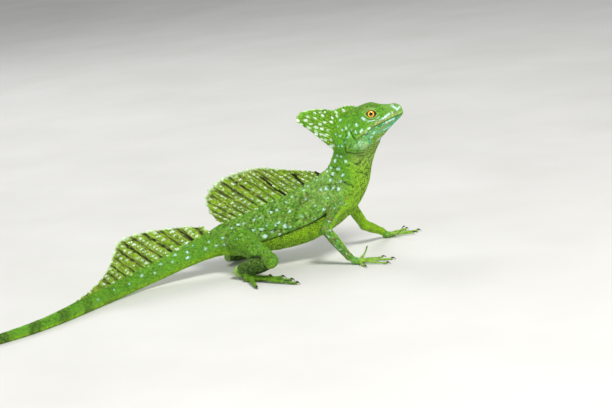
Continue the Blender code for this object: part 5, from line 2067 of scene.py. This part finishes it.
def fringe_coat(shape, hide):
    """Broad scales that stand out along both sides of the hind toes."""
    tubes = [tube for limb in LIMB_LIST if limb.kind == "leg" for tube in limb.digits]
    rows = []
    for number, tube in enumerate(tubes):
        at = np.arange(3.0, tube.length[-1] - 0.8, FRINGE_PITCH)
        middle, ahead, side, up = tube.at(at)
        radius = np.interp(at, tube.length, tube.radius)[:, None]
        size = np.tile(FRINGE_SIZE, (len(at), 1))
        for sign in (1, -1):
            across = np.full(len(at), (number + 0.5 + 0.3 * sign) / len(tubes))
            root = np.stack([inset(at / tube.length[-1]), across], -1)
            rows.append((middle + sign * side * radius * 0.93, up, ahead * 0.6 + sign * side, size, root))
    return scatter("coat_fringes", [np.concatenate(part) for part in zip(*rows)], shape, hide, play=0.8)


def tube_roots(tube, pitch):
    """Places of scales on a limb's tube and its round ends, the lie of each, and its place on an unwrap."""
    length = tube.length[-1]
    reach = tube.radius[0] * 0.9, tube.radius[-1] * 0.9

    def radius_at(row):
        for end, gap in ((0, -row), (1, row - length)):
            if gap > 0:
                return math.sqrt(max(tube.radius[-end] ** 2 - gap * gap, 0.05))
        return np.interp(row, tube.length, tube.radius)

    rows = np.arange(-reach[0], length + reach[1], pitch * 0.9)
    row_of, share = lattice(rows, lambda row: max(6, round(2 * math.pi * radius_at(row) / pitch)))
    around = np.array([radius_at(row) for row in row_of])
    middle, ahead, side, up = tube.at(row_of)
    over = np.clip(row_of - length, 0, None) + np.clip(row_of, None, 0)
    turn = share * 2 * math.pi
    out = side * np.cos(turn)[:, None] + up * np.sin(turn)[:, None]
    raw = middle + ahead * over[:, None] + out * around[:, None]
    return raw, ahead, (row_of + reach[0]) / (length + sum(reach)), share


def limb_coats(coat, leaf, hide):
    """Scales of the arms and legs, one piece for each pair."""
    made = []
    for kind in LIMB_KINDS:
        gathered, islands = [], []
        for limb in (limb for limb in LIMB_LIST if limb.kind == kind):
            for number, tube in enumerate(limb.tubes()):
                pitch = 0.95 if number > 2 else 1.15
                islands.append((*tube_roots(tube, pitch), pitch, limb.part + min(number, 2)))
            raw = limb.pad_points(1.0)
            ahead = np.tile(limb.pad_axes[:, 0], (len(raw), 1))
            share = (raw - limb.centre) / (2.2 * limb.pad[0]) + 0.5
            islands.append((raw, ahead, share[:, 0], share[:, 1], 0.95, limb.part + 2))
        for island, (raw, ahead, along, share, pitch, part) in enumerate(islands):
            root = np.stack([inset(along), (island + 0.06 + 0.88 * share) / len(islands)], -1)
            gathered.append((raw, ahead, root, np.full(len(raw), pitch), np.full(len(raw), part)))
        raw, lie, root, pitch, part = (np.concatenate(v) for v in zip(*gathered))
        found, normal, away = coat.on_skin(raw)
        outs = Places(found).outs
        mine = outs[part, np.arange(len(part))]
        keep = (mine < outs.min(0) + 0.7) & (away < 3.0) & (found[:, 2] > ROOT_HEIGHT)
        keep &= thinned(found, keep, 0.72)
        size = np.stack([pitch * 1.4, pitch * 1.08, 0.5 * pitch / 1.15], -1)
        roots = [part[keep] for part in (found, normal, lie, size, root)]
        made.append(scatter(f"coat_{kind}s", roots, leaf, hide))
    return made


def joint_coat(coat, made, shape, hide):
    """Scales for the skin that the other pieces leave bare, where limbs and neck join the body."""
    corners = len(shape.data.vertices)
    others = [piece for piece in made if piece.name not in ("coat_plates", "coat_fringes")]
    middles = np.concatenate([points_of(piece.data).reshape(-1, corners, 3).mean(1) for piece in others])
    tree = KDTree(len(middles))
    for i, middle in enumerate(middles):
        tree.insert(middle, i)
    tree.balance()
    where = Places(coat.points)
    ordered = np.sort(where.outs, axis=0)
    near = (ordered[1] - ordered[0] < 7) & (ordered[0] > -0.45) & (coat.points[:, 2] > 0.4)
    near &= (where.part != 1) | (where.local[:, 0] < -52)
    chosen = np.nonzero(near)[0]
    bare = np.array([tree.find(coat.points[i])[2] > 0.85 for i in chosen])
    chosen = chosen[bare]
    chosen = chosen[thinned(coat.points[chosen], np.full(len(chosen), True), 0.85)]
    found, normal = coat.points[chosen], coat.normals[chosen]
    lie = -BODY.take(BODY.along, where.station[chosen])
    for limb in LIMB_LIST:
        for k, tube in enumerate((limb.upper, limb.lower)):
            mine = where.outs[limb.part + k, chosen] < where.outs[0, chosen] + 3
            lie[mine] = unit(tube.path[-1] - tube.path[0])
    share = where.angle[chosen] / (2 * math.pi) % 1
    root = inset(np.stack([where.station[chosen] / LAST_STATION, share], -1))
    size = np.tile((1.45, 1.15, 0.5), (len(chosen), 1))
    return scatter("coat_joints", (found, normal, lie, size, root), shape, hide)


def thinned(points, keep, gap):
    """Drops points that lie within a gap of an earlier kept one."""
    cells = {}
    result = np.zeros(len(points), bool)
    keys = np.floor(points / gap).astype(int)
    steps = list(product((-1, 0, 1), repeat=3))
    for i in np.nonzero(keep)[0]:
        x, y, z = keys[i]
        near = [cells[key] for key in ((x + p, y + q, z + r) for p, q, r in steps) if key in cells]
        if all(((points[i] - points[j]) ** 2).sum() > gap * gap for j in near):
            cells[(x, y, z)] = i
            result[i] = True
    return result


# ---------------------------------------------------------------- crests


def crest_lines(profile, span, rays):
    """Rays along the back or tail: foot and tip of each."""
    lines = []
    for k in range(rays):
        share = k / (rays - 1)
        station = span[0] + (span[1] - span[0]) * share
        middle, along, _, up = spine_frame(station)
        above = blend(SPINE, station)[5]
        length, tilt = blend(profile, share)
        ray = up * math.sin(math.radians(tilt)) - along * math.cos(math.radians(tilt))
        foot = middle + up * (above - CREST_SINK)
        lines.append((np.array(foot), np.array(foot + up * CREST_SINK + ray * length)))
    return lines


class Sail:
    """A crest: lines from root to edge, with skin stretched between them."""

    def __init__(self, name, lines, across, columns, rows, scallop, root, point):
        self.name, self.count = name, len(lines)
        self.scallop, self.root, self.point = scallop, root, point
        self.u = np.linspace(0, self.count - 1, (self.count - 1) * columns + 1)
        self.v = np.linspace(0, 1, rows)
        self.feet, self.tips = (self.smooth(np.array([line[end] for line in lines])) for end in (0, 1))
        self.across = np.array(across)

    def smooth(self, places):
        """Places of the rays' ends, finely between the rays too."""
        tables = [[(float(i), float(value)) for i, value in enumerate(column)] for column in places.T]
        return np.stack([[blend(table, x)[0] for x in self.u] for table in tables], -1)

    def sheet(self, u_index, v, side):
        """Points of one face of the sail."""
        u = self.u[u_index]
        foot, tip = self.feet[u_index], self.tips[u_index]
        length = np.linalg.norm(tip - foot, axis=-1)
        off = np.abs(u - np.round(u)) * 2  # 0 on a ray, 1 midway
        cut = self.scallop * off / np.maximum(length, self.scallop * 2)
        share = v * (1 - cut)
        place = foot + (tip - foot) * share[..., None]
        ray = bump(off, 0.34)
        web = 0.30 + 0.10 * (1 - v)
        spine = 0.55 * (1 - v) + 0.22
        flare = self.root * np.exp(-((v * length) / 3.2) ** 1.5)
        half = web + ray * spine + flare
        half = half * (1 - 0.55 * ramp(0.9, 1.0, v))
        sway = 0.45 * np.sin(u * 2.1) * v + 0.3 * np.sin(u * math.pi * 2 + 0.6) * v * ramp(0, 0.3, v)
        return place + self.across * (side * half + sway * self.point)[..., None]

    def middle(self, u, v):
        """A place in the middle of the sail, and the direction of its ray."""
        k = int(round(u / self.u[1]))
        run = self.tips[k] - self.feet[k]
        return self.feet[k] + run * v, unit(run)

    def mesh(self):
        """The closed sail, its places, and for each the ray, the share of the ray and the ray's length."""
        rows, cols = len(self.v), len(self.u)
        grid_u, grid_v = np.meshgrid(np.arange(cols), self.v, indexing="ij")
        sheets = [self.sheet(grid_u, grid_v, side) for side in (1, -1)]
        points = np.concatenate([s.reshape(-1, 3) for s in sheets])
        index = np.arange(cols * rows).reshape(cols, rows)
        other = index + cols * rows

        def quads(a, b, c, d):
            return np.stack([a.ravel(), b.ravel(), c.ravel(), d.ravel()], -1).tolist()

        faces = quads(index[:-1, :-1], index[:-1, 1:], index[1:, 1:], index[1:, :-1])
        faces += quads(other[:-1, :-1], other[1:, :-1], other[1:, 1:], other[:-1, 1:])
        for j, flip in ((0, False), (rows - 1, True)):
            a, b, c, d = index[:-1, j], index[1:, j], other[1:, j], other[:-1, j]
            faces += quads(a, d, c, b) if flip else quads(a, b, c, d)
        for i, flip in ((0, True), (cols - 1, False)):
            a, b, c, d = index[i, :-1], index[i, 1:], other[i, 1:], other[i, :-1]
            faces += quads(a, d, c, b) if flip else quads(a, b, c, d)
        mesh = bpy.data.meshes.new(self.name)
        mesh.from_pydata(to_frame(points).tolist(), [], faces)
        mesh.update()
        fix_normals(mesh)
        u = np.tile(self.u[grid_u].ravel(), 2)
        v = np.tile(grid_v.ravel(), 2)
        length = np.tile(np.linalg.norm(self.tips - self.feet, axis=-1)[grid_u].ravel(), 2)
        return mesh, points, u, v, length


def fix_normals(mesh):
    """Turns all faces of a closed mesh outwards."""
    bm = bmesh.new()
    bm.from_mesh(mesh)
    bmesh.ops.recalc_face_normals(bm, faces=bm.faces)
    bm.to_mesh(mesh)
    bm.free()


MOST_SPOTS = 40  # on one ray


def ray_marks(sail, points, u, v, length, seed, streaks=()):
    """Markings of the back and tail crests: a dotted pale row on each ray, a dark line in each fold that is
    partly dark skin and partly painted shade, and a painted highlight beside it.
    """
    rng = np.random.default_rng(seed)
    rays = sail.count
    phase, gap = rng.uniform(0, 1, rays), rng.uniform(3.4, 5.2, rays)
    ray = np.clip(np.round(u).astype(int), 0, rays - 1)
    off = u - ray
    along = v * length
    wobble, fine = rough(points, 2.4, seed), rough(points, 1.3, seed + 2)
    beat = along / gap[ray] + phase[ray] + 0.06 * wobble
    number = np.clip(beat.astype(int), 0, MOST_SPOTS - 1)

    def drawn(low, high):
        return rng.uniform(low, high, (rays, MOST_SPOTS))[ray, number]

    strength = drawn(0.55, 1.1)
    strength = strength * (drawn(0, 1) > 0.16)
    reach = drawn(0.15, 0.34)
    aside = drawn(-0.14, 0.14)
    dash = bump(beat % 1 - 0.5, reach) * bump(off + aside + 0.05 * wobble, 0.2)
    pale = ramp(0.35, 0.55, dash) * np.clip(strength, 0, 1) * ramp(1.5, 3.5, along)
    grain = rough(np.stack([u * 6.0, along / 3.4, np.full(len(u), 9.0)], -1), 1.0, seed + 7)
    # The dark line in each fold: partly dark skin, partly painted shade of the fold.
    fold = np.abs(np.abs(off) - 0.5)
    width = rng.uniform(0.09, 0.145, rays + 1)[np.clip(np.floor(u).astype(int), 0, rays)]
    dark = ramp(1.2, 0.6, fold / width + 0.25 * grain) * ramp(1.0, 0.97, v) * ramp(0.0, 0.12, v)
    dark = dark * ramp(-0.9, -0.5, fine + 0.4 * wobble)
    thin = 0.75 * bump(np.abs(off) - 0.3, 0.07) * ramp(0.05, 0.3, v) * ramp(-0.2, 0.35, grain + 0.3 * fine)
    dark = np.maximum(dark, thin)
    tip = ramp(0.9, 0.985, v + 0.02 * wobble) * bump(off, 0.36)
    pale = np.maximum(pale, 0.7 * tip)
    dark = dark * (1 - 0.8 * tip)
    # Painted highlight beside each dark fold line, laid on as yellow and cream.
    light = bump(fold / width - 1.75, 0.4) * ramp(-0.4, 0.3, grain)
    yellow = 0.2 + 0.35 * ramp(0.05, 0.5, v) + 0.35 * grain + 0.5 * light
    olive = 0.12 + 0.25 * rough(points, 6.0, seed + 1) + 0.6 * ramp(-0.05, -0.5, grain)
    where = np.stack([u, v * 6], -1)
    for (u0, v0), (u1, v1), width in streaks:
        away = to_segment(where, (u0, v0 * 6), (u1, v1 * 6)) + 0.09 * fine
        dark = np.maximum(dark, ramp(width * 1.35, width, away))
        pale = pale * ramp(width * 0.9, width * 1.5, away)
    nothing = np.zeros(len(u))
    blush = 0.45 * ramp(0.1, 0.6, rough(points, 1.7, seed + 5)) * bump(np.abs(off) - 0.32, 0.12)
    first = np.stack([pale, yellow, dark, olive], -1)
    second = np.stack([nothing, blush, 0.6 * ramp(0.5, 0.0, v), 0.3 * ramp(0.9, 1.0, v) + 0.4 * light], -1)
    return np.clip(first, 0, 1), np.clip(second, 0, 1)


def head_crest_marks(sail, points, u, v, length, *_):
    """Markings of the head crest: long pale spots on bright green, dark flecks and a thin pale edge."""
    rng = np.random.default_rng(5)
    pale = np.zeros(len(u))
    wobble, fine = rough(points, 1.4, 2), rough(points, 1.2, 8)
    for u0, v0 in HEAD_CREST_SPOTS:
        middle, ray = sail.middle(u0, v0)
        size, strength = rng.uniform(0.75, 1.2), rng.uniform(0.7, 1.0)
        away = points - middle
        away = away - dot(away, sail.across)[:, None] * sail.across
        along = dot(away, ray)
        aside = np.linalg.norm(away - along[:, None] * ray, axis=1)
        reach = np.hypot(along / 1.65, aside / 1.05) / size
        pale = np.maximum(pale, strength * ramp(1.2, 0.8, reach + 0.22 * wobble))
    edge = ramp(0.955, 0.985, v)
    fold = np.abs(np.abs(u - np.round(u)) - 0.5)
    dark = 0.4 * ramp(0.25, 0.65, fine) * ramp(0.1, 0.3, v) * (1 - edge)
    dark = np.maximum(dark, 0.5 * bump(fold, 0.13) * ramp(0.1, 0.4, v) * (1 - edge) * ramp(-0.3, 0.3, wobble))
    dark = dark * (1 - pale)
    yellow = 0.15 + 0.3 * edge + 0.35 * ramp(9.5, 12.5, u) * ramp(0.9, 0.3, v)
    yellow = yellow + 0.3 * wobble * ramp(0.1, 0.4, v)
    pale = np.maximum(pale, 0.75 * edge * ramp(-0.35, 0.2, rough(points, 1.7, 14)))
    first = np.stack([pale, yellow, dark, 0.12 + 0.3 * rough(points, 4.0, 3)], -1)
    nothing = np.zeros(len(u))
    second = np.stack([nothing, nothing, 1.0 + 0.4 * fine, 0.25 * edge], -1)
    return np.clip(first, 0, 1), np.clip(second, 0, 1)


CREST_BEAD = 1.4  # length of a crest's scale
MAP_EDGE, MAP_ISLAND, MAP_FACE = 0.01, 0.33, 0.5  # of the unwrap: its edge, a crest's part, a side's part


def crest_roots(sail, island):
    """Places for the fine scales of both faces of a sail, in columns that keep to rays and folds."""
    rows = []
    for side in (1, -1):
        for k in range(1, len(sail.u), 2):
            u = sail.u[k]
            length = np.linalg.norm(sail.tips[k] - sail.feet[k])
            count = max(2, int(length / CREST_BEAD))
            v = (np.arange(count) + 0.3 + 0.5 * (k // 2 % 2)) / count
            v = v[(v < 0.99) & (v * length > 1.2)]
            at, u = np.full(len(v), k), np.full(len(v), u)
            middle = sail.sheet(at, v, side)
            across = sail.sheet(at + 1, v, side) - sail.sheet(at - 1, v, side)
            along = sail.sheet(at, np.minimum(v + 0.01, 1), side) - sail.sheet(at, v - 0.01, side)
            normal = unit(np.cross(across, along))
            normal *= np.sign(dot(normal, sail.across * side))[:, None]
            width = np.linalg.norm(across, axis=1)
            across_map = MAP_EDGE + MAP_ISLAND * island + 0.31 * u / sail.count
            root = np.stack([across_map, MAP_EDGE + 0.48 * v + MAP_FACE * (side > 0)], -1)
            rows.append((middle, normal, along, width, root, u, v, np.full(len(v), length)))
    middle, normal, along, width, root, u, v, length = (np.concatenate(part) for part in zip(*rows))
    keep = thinned(middle, np.full(len(middle), True), 0.62)
    size = np.stack([
        np.full(len(width), CREST_BEAD * 1.25), np.clip(width * 1.08, 0.75, 1.7), np.full(len(width), 0.34)
    ], -1)
    return [part[keep] for part in (middle, normal, along, size, root, u, v, length)]


def build_crests():
    """The three sails, and one coat of fine flat scales for all of them."""
    head_lines = [
        (head_points([foot[0], 0, foot[1]]), head_points([tip[0], 0, tip[1]])) for foot, tip in HEAD_CREST
    ]
    back_lines = crest_lines(BACK_CREST, BACK_CREST_SPAN, BACK_RAYS)
    tail_lines = crest_lines(TAIL_CREST, TAIL_CREST_SPAN, TAIL_RAYS)
    sideways = (0, 1, 0)
    # Node, rays, thickness direction, (scallop, root's flare, sway), rows, markings and what they take.
    plan = (
        ("head_crest", head_lines, HEAD_AXES[:, 1], (0.5, 2.2, 0.5), 44, head_crest_marks, ()),
        ("back_crest", back_lines, sideways, (3.1, 1.7, 0.8), 46, ray_marks, (21, BLACK_STREAKS)),
        ("tail_crest", tail_lines, sideways, (1.9, 1.3, 0.7), 36, ray_marks, (34,)),
    )
    skin = hide_material(
        "basilisk_crest", ((950.0, 1.0),), strength=0.5, depth=0.0002, roughness=(0.42, 0.58), gloss=0.3,
        colours=bpy.context.scene.basilisk_crest,
    )
    gathered, made = [], []
    for island, (node, lines, across, build, rows, marks, extra) in enumerate(plan):
        sail = Sail(f"{node}_sail", lines, across, 10, rows, *build)
        mesh, points, u, v, length = sail.mesh()
        for title, values in zip(("marks", "tints"), marks(sail, points, u, v, length, *extra)):
            put_layer(mesh, title, values)
        piece = new_piece(sail.name, mesh, skin)
        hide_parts(node)
        made.append(piece)
        middle, normal, along, size, root, u, v, length = crest_roots(sail, island)
        first, second = marks(sail, middle, u, v, length, *extra)
        keep = (np.abs(np.abs(u - np.round(u)) - 0.5) > 0.05) | (first[:, 2] < 0.6)
        gathered.append([part[keep] for part in (middle, normal, along, size, root, first, second)])
    shape = scale_shape("crest_bead", 0.85, 1.0)
    *roots, first, second = (np.concatenate(part) for part in zip(*gathered))
    made.append(scatter(
        "coat_crests", roots, shape, skin, play=0.35, rim=(0.12, 0.0), colours=(first, second),
    ))
    bpy.data.objects.remove(shape)
    for piece in made:
        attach(piece, "root")
    return made


# ---------------------------------------------------------------- eyes and claws


CORNEA_RISE = 0.35  # how far the cornea bulges
CORNEA_EDGE = 0.62  # cosine of the angle from the gaze where the bulge starts


def build_eyes():
    """Eyeballs with a slight corneal bulge, and a flat map for the iris."""
    made = []
    material = eye_material()
    for name, side in SIDES.items():
        bm = bmesh.new()
        bmesh.ops.create_uvsphere(bm, u_segments=64, v_segments=40, radius=1.0)
        sphere = np.array([v.co for v in bm.verts])
        gaze = np.array(EYE_GAZE) * (1, side, 1)
        gaze /= np.linalg.norm(gaze)
        first = unit(np.cross(gaze, (0, 0, 1.0)))
        second = np.cross(gaze, first)
        facing = np.stack([first, second, gaze])
        away = sphere[:, 2]
        turned = sphere @ facing
        radius = EYE_RADIUS + CORNEA_RISE * np.clip((away - CORNEA_EDGE) / (1 - CORNEA_EDGE), 0, 1) ** 1.2
        local = turned * radius[:, None] + np.array((EYE_PLACE.x, side * EYE_PLACE.y, EYE_PLACE.z))
        angle = np.arccos(np.clip(away, -1, 1)) * EYE_RADIUS
        flat = unit(sphere * (1, 1, 0)) * angle[:, None]
        mesh = bpy.data.meshes.new(f"eyeball_{name}")
        bm.to_mesh(mesh)
        bm.free()
        put_points(mesh, head_points(local))
        fix_normals(mesh)
        put_vectors(mesh, "gaze", flat)
        piece = new_piece(f"eyeball_{name}", mesh, material)
        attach(piece, "root")
        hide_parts(f"eye_{name}")
        made.append(piece)
    return made


def build_claws():
    """All twenty claws as one piece of curved, pointed horn."""
    shell = Shell()
    shares = np.linspace(0, 1, 12)
    turns = np.linspace(0, 2 * math.pi, 12, endpoint=False)
    share_of, nodes = [], []
    upward = np.array((0, 0, 1.0))
    for limb in LIMB_LIST:
        for number, path in enumerate(limb.paths, 1):
            ahead = np.array((path[-1] - path[-2]).normalized())
            left = unit(np.cross(ahead, upward))
            root = np.array(path[-1]) - ahead * 0.5
            rings = []
            radius = limb.digit_radius
            for share in shares:
                arch = 0.55 * math.sin(math.pi * min(share * 1.15, 1.0)) - 0.75 * share**2
                middle = root + ahead * (CLAW_LENGTH + 0.8) * share + upward * (arch + 0.15) * radius
                size = radius * (0.6 * (1 - share) ** 0.8 + 0.03)
                ring = [left * math.cos(t) * 0.8 + upward * 1.15 * math.sin(t) for t in turns]
                rings.append(middle + np.array(ring) * size)
            rings = np.array(rings)
            rings[..., 2] = np.maximum(rings[..., 2], OVER_FLOOR)
            shell.add_tube(rings[:, ::-1])
            share_of += np.repeat(shares, len(turns)).tolist()
            nodes.append(f"claw_{limb.names[2]}_{limb.label}_{number}")
    mesh = shell.mesh("claws")
    fix_normals(mesh)
    put_layer(mesh, "claw_share", [(s, s, s, 1) for s in share_of])
    piece = new_piece("claws", mesh, claw_material())
    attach(piece, "root")
    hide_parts(*nodes)
    return piece


# ---------------------------------------------------------------- stage

FRAME_WIDTH, FRAME_HEIGHT = 612, 408
CAMERA_TURN, CAMERA_LIFT, CAMERA_ROLL = -12.0, 12.0, 6.0
CAMERA_REACH, PIXEL = 1.6, 0.00085
SEEN_POINT, SEEN_PIXEL = Vector((0, 0, 0.04)), (300, 215)
SENSOR = 36.0


def build_camera():
    """The camera, turned and shifted so that the model lies at its place in the frame."""
    turn, lift, roll = (math.radians(v) for v in (CAMERA_TURN, CAMERA_LIFT, CAMERA_ROLL))
    back = Vector((math.sin(turn) * math.cos(lift), -math.cos(turn) * math.cos(lift), math.sin(lift)))
    level = (-back).cross(UP).normalized()
    rise = level.cross(-back)
    across = level * math.cos(roll) - rise * math.sin(roll)
    up = rise * math.cos(roll) + level * math.sin(roll)
    shift = across * (SEEN_PIXEL[0] - FRAME_WIDTH / 2) + up * (FRAME_HEIGHT / 2 - SEEN_PIXEL[1])
    data = bpy.data.cameras.new("camera")
    data.sensor_width = SENSOR
    data.lens = SENSOR * CAMERA_REACH / (FRAME_WIDTH * PIXEL)
    data.clip_start, data.clip_end = 0.05, 60.0
    camera = linked("camera", data)
    rotation = Matrix((across, up, back)).transposed().to_4x4()
    place = SEEN_POINT + OFFSET + back * CAMERA_REACH - shift * PIXEL
    camera.matrix_world = Matrix.Translation(place) @ rotation
    bpy.context.scene.camera = camera


# The lights: place, aim, width of the round area, and colour.
LIGHTS = (
    ("key", (0.55, -1.0, 1.5), (0.1, 0, 0.05), 0.55, (1.0, 0.985, 0.95)),
    ("fill", (-1.3, -1.2, 0.8), (0, 0, 0.04), 1.2, (0.93, 0.97, 1.0)),
    ("back", (-0.2, 1.3, 1.3), (0, 0, 0.05), 1.0, (1.0, 1.0, 1.0)),
)


def add_light(name, power, place, aim, size, colour):
    """A round soft light at a place, turned towards its aim."""
    data = bpy.data.lights.new(name, "AREA")
    data.shape, data.size, data.energy, data.color = "DISK", size, power, colour
    light = linked(name, data)
    light.location = place
    light.rotation_mode = "QUATERNION"
    light.rotation_quaternion = (Vector(aim) - Vector(place)).to_track_quat("-Z", "Y")


def build_stage(settings):
    """Floor, camera, lights and surroundings."""
    bm = bmesh.new()
    bmesh.ops.create_grid(bm, x_segments=8, y_segments=8, size=15.0)
    mesh = bpy.data.meshes.new("floor")
    bm.to_mesh(mesh)
    bm.free()
    floor = new_piece("floor", mesh, stage_material())
    build_camera()
    for name, *values in LIGHTS:
        add_light(f"{name}_light", getattr(settings, f"{name}_power"), *values)
    world = bpy.data.worlds.new("studio")
    world.use_nodes = True
    background = world.node_tree.nodes["Background"]
    background.inputs["Color"].default_value = (*settings.surroundings, 1)
    background.inputs["Strength"].default_value = settings.world_light
    bpy.context.scene.world = world
    bpy.context.scene.view_settings.view_transform = "Standard"


# ---------------------------------------------------------------- settings, operators and panel


class BasiliskSkinSettings(bpy.types.PropertyGroup):
    """Sizes of the skin"""

    coat_depth: bpy.props.FloatProperty(
        name="Coat depth", description="How far the skin lies inside the solids", default=0.0003, min=0.0,
        unit="LENGTH", precision=5)
    voxel: bpy.props.FloatProperty(
        name="Voxel", description="Grain of the skin's first mesh", default=0.0007, min=0.0003, unit="LENGTH",
        precision=5)
    most_triangles: bpy.props.IntProperty(
        name="Most triangles", description="Triangles the finished skin may have", default=185000, min=1000)


def shade(name, description, *colour):
    """A colour that a user may change, given by its screen values."""
    return bpy.props.FloatVectorProperty(
        name=name, description=description, default=paint(*colour), min=0.0, max=1.0, size=3, subtype="COLOR")


class BasiliskHideSettings(bpy.types.PropertyGroup):
    """Colours of skin and scales"""

    green: shade("Green", "Main colour of the hide", 96, 166, 32)
    leaf: shade("Leaf green", "Paler patches of the main colour", 138, 196, 46)
    bright_green: shade("Bright green", "Clear green of flanks and tail", 106, 198, 42)
    belly: shade("Yellow green", "Colour of throat and belly", 173, 234, 6)
    olive_shade: shade("Olive", "Brownish green of legs and flanks", 66, 100, 22)
    speck: shade("Specks", "Fine dark mottling", 40, 70, 12)
    light: shade("Light specks", "Fine pale mottling", 178, 222, 76)
    jaw: shade("Turquoise", "Colour of the jowls", 74, 200, 146)
    lip: shade("Lips", "Brownish pink of the lip plates", 168, 112, 84)
    cream_shade: shade("Cream", "Pale streaks and specks", 196, 232, 140)
    spot: shade("Spots", "Pale round spots", 216, 252, 240)
    # Lines also paints shade: in folds and creases, behind the limbs, in mouth and nostrils, under the shanks
    # and at the scales' rims.
    line: shade("Lines", "Dark lines and creases", 18, 26, 6)


class BasiliskCrestSettings(bpy.types.PropertyGroup):
    """Colours of the crests, in place of the hide's"""

    green: shade("Green", "Main colour of the crests", 110, 172, 30)
    leaf: shade("Leaf green", "Paler patches of the main colour", 148, 200, 42)
    # Lines here is partly the folds' dark skin and partly painted shade in the folds.
    line: shade("Lines", "Dark folds between the rays", 30, 28, 4)
    belly: shade("Yellow green", "Colour towards the crests' edge", 184, 218, 58)
    spot: shade("Spots", "Pale spots on the rays", 236, 254, 232)
    olive_shade: shade("Olive", "Brownish green patches", 84, 108, 18)
    bright_green: shade("Bright green", "Clear green at the root", 112, 200, 40)


class BasiliskEyeSettings(bpy.types.PropertyGroup):
    """Colours of the eyes"""

    iris: shade("Iris", "Darker colour of the iris", 214, 92, 4)
    threads: shade("Threads", "Paler threads of the iris", 252, 160, 8)
    inner_ring: shade("Inner ring", "Ring round the pupil", 255, 222, 26)
    outer_ring: shade("Outer ring", "Flecked ring near the rim", 202, 66, 2)
    rim: shade("Rim", "Dark rim of the iris", 9, 7, 5)
    pupil: shade("Pupil", "Colour of the pupil", 4, 5, 9)


class BasiliskClawSettings(bpy.types.PropertyGroup):
    """Colours of the claws"""

    horn: shade("Horn", "Dark colour of the horn", 20, 15, 10)
    grain: shade("Grain", "Paler grain of the horn", 46, 36, 24)
    root: shade("Root", "Pale colour at the root", 96, 92, 52)


class BasiliskStageSettings(bpy.types.PropertyGroup):
    """Lights and colours of the stage"""

    key_power: bpy.props.FloatProperty(
        name="Key light", description="Power of the large light above the camera", default=26.0, min=0.0,
        unit="POWER")
    fill_power: bpy.props.FloatProperty(
        name="Fill light", description="Power of the soft light on the tail's side", default=9.0, min=0.0,
        unit="POWER")
    back_power: bpy.props.FloatProperty(
        name="Back light", description="Power of the light behind the animal", default=11.0, min=0.0,
        unit="POWER")
    world_light: bpy.props.FloatProperty(
        name="Surroundings' strength", description="Brightness of the plain surroundings", default=0.55,
        min=0.0)
    surroundings: shade("Surroundings", "Colour of the plain surroundings", 226, 228, 230)
    paper: shade("Paper", "Colour of the floor", 222, 221, 218)
    paper_shade: shade("Paper's shade", "Slightly darker patches of the floor", 214, 213, 209)


SETTINGS = {
    "basilisk_skin": BasiliskSkinSettings, "basilisk_hide": BasiliskHideSettings,
    "basilisk_crest": BasiliskCrestSettings, "basilisk_eye": BasiliskEyeSettings,
    "basilisk_claw": BasiliskClawSettings, "basilisk_stage": BasiliskStageSettings,
}


class BASILISK_OT_skin(bpy.types.Operator):
    """Make the one skin that stands for every solid of flesh"""

    bl_idname = "basilisk.skin"
    bl_label = "Skin"

    def execute(self, context):
        piece = build_skin(context.scene.basilisk_skin)
        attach(piece, "root")
        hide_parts(*flesh_nodes())
        return {"FINISHED"}


class BASILISK_OT_scales(bpy.types.Operator):
    """Cover the skin with scales"""

    bl_idname = "basilisk.scales"
    bl_label = "Scales"

    def execute(self, context):
        for piece in build_coat(bpy.data.objects["skin"]):
            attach(piece, "root")
        return {"FINISHED"}


class BASILISK_OT_crests(bpy.types.Operator):
    """Make the crests of head, back and tail"""

    bl_idname = "basilisk.crests"
    bl_label = "Crests"

    def execute(self, context):
        build_crests()
        return {"FINISHED"}


class BASILISK_OT_eyes(bpy.types.Operator):
    """Make the eyes"""

    bl_idname = "basilisk.eyes"
    bl_label = "Eyes"

    def execute(self, context):
        build_eyes()
        return {"FINISHED"}


class BASILISK_OT_claws(bpy.types.Operator):
    """Make the claws"""

    bl_idname = "basilisk.claws"
    bl_label = "Claws"

    def execute(self, context):
        build_claws()
        return {"FINISHED"}


class BASILISK_OT_stage(bpy.types.Operator):
    """Make the floor, the lights and the camera"""

    bl_idname = "basilisk.stage"
    bl_label = "Stage"

    def execute(self, context):
        build_stage(context.scene.basilisk_stage)
        return {"FINISHED"}


OPERATORS = (
    BASILISK_OT_stage, BASILISK_OT_skin, BASILISK_OT_scales, BASILISK_OT_crests, BASILISK_OT_eyes,
    BASILISK_OT_claws,
)


class BASILISK_PT_panel(bpy.types.Panel):
    """Every step of the basilisk's looks"""

    bl_idname = "BASILISK_PT_panel"
    bl_label = "Basilisk"
    bl_space_type = "VIEW_3D"
    bl_region_type = "UI"
    bl_category = "Basilisk"

    def draw(self, context):
        for title in SETTINGS:
            settings = getattr(context.scene, title)
            for name in settings.__annotations__:
                self.layout.prop(settings, name)
        for operator in OPERATORS:
            self.layout.operator(operator.bl_idname)


CLASSES = (*SETTINGS.values(), *OPERATORS, BASILISK_PT_panel)


def register():
    """Adds the settings, the operators and the panel."""
    for item in CLASSES:
        bpy.utils.register_class(item)
    for title, group in SETTINGS.items():
        setattr(bpy.types.Scene, title, bpy.props.PointerProperty(type=group))


def unregister():
    """Takes them away again."""
    for title in SETTINGS:
        delattr(bpy.types.Scene, title)
    for item in reversed(CLASSES):
        bpy.utils.unregister_class(item)


def main():
    """Builds everything."""
    register()
    bpy.ops.basilisk.stage()
    bpy.ops.basilisk.skin()
    bpy.ops.basilisk.scales()
    bpy.ops.basilisk.crests()
    bpy.ops.basilisk.eyes()
    bpy.ops.basilisk.claws()


if __name__ == "__main__":
    main()
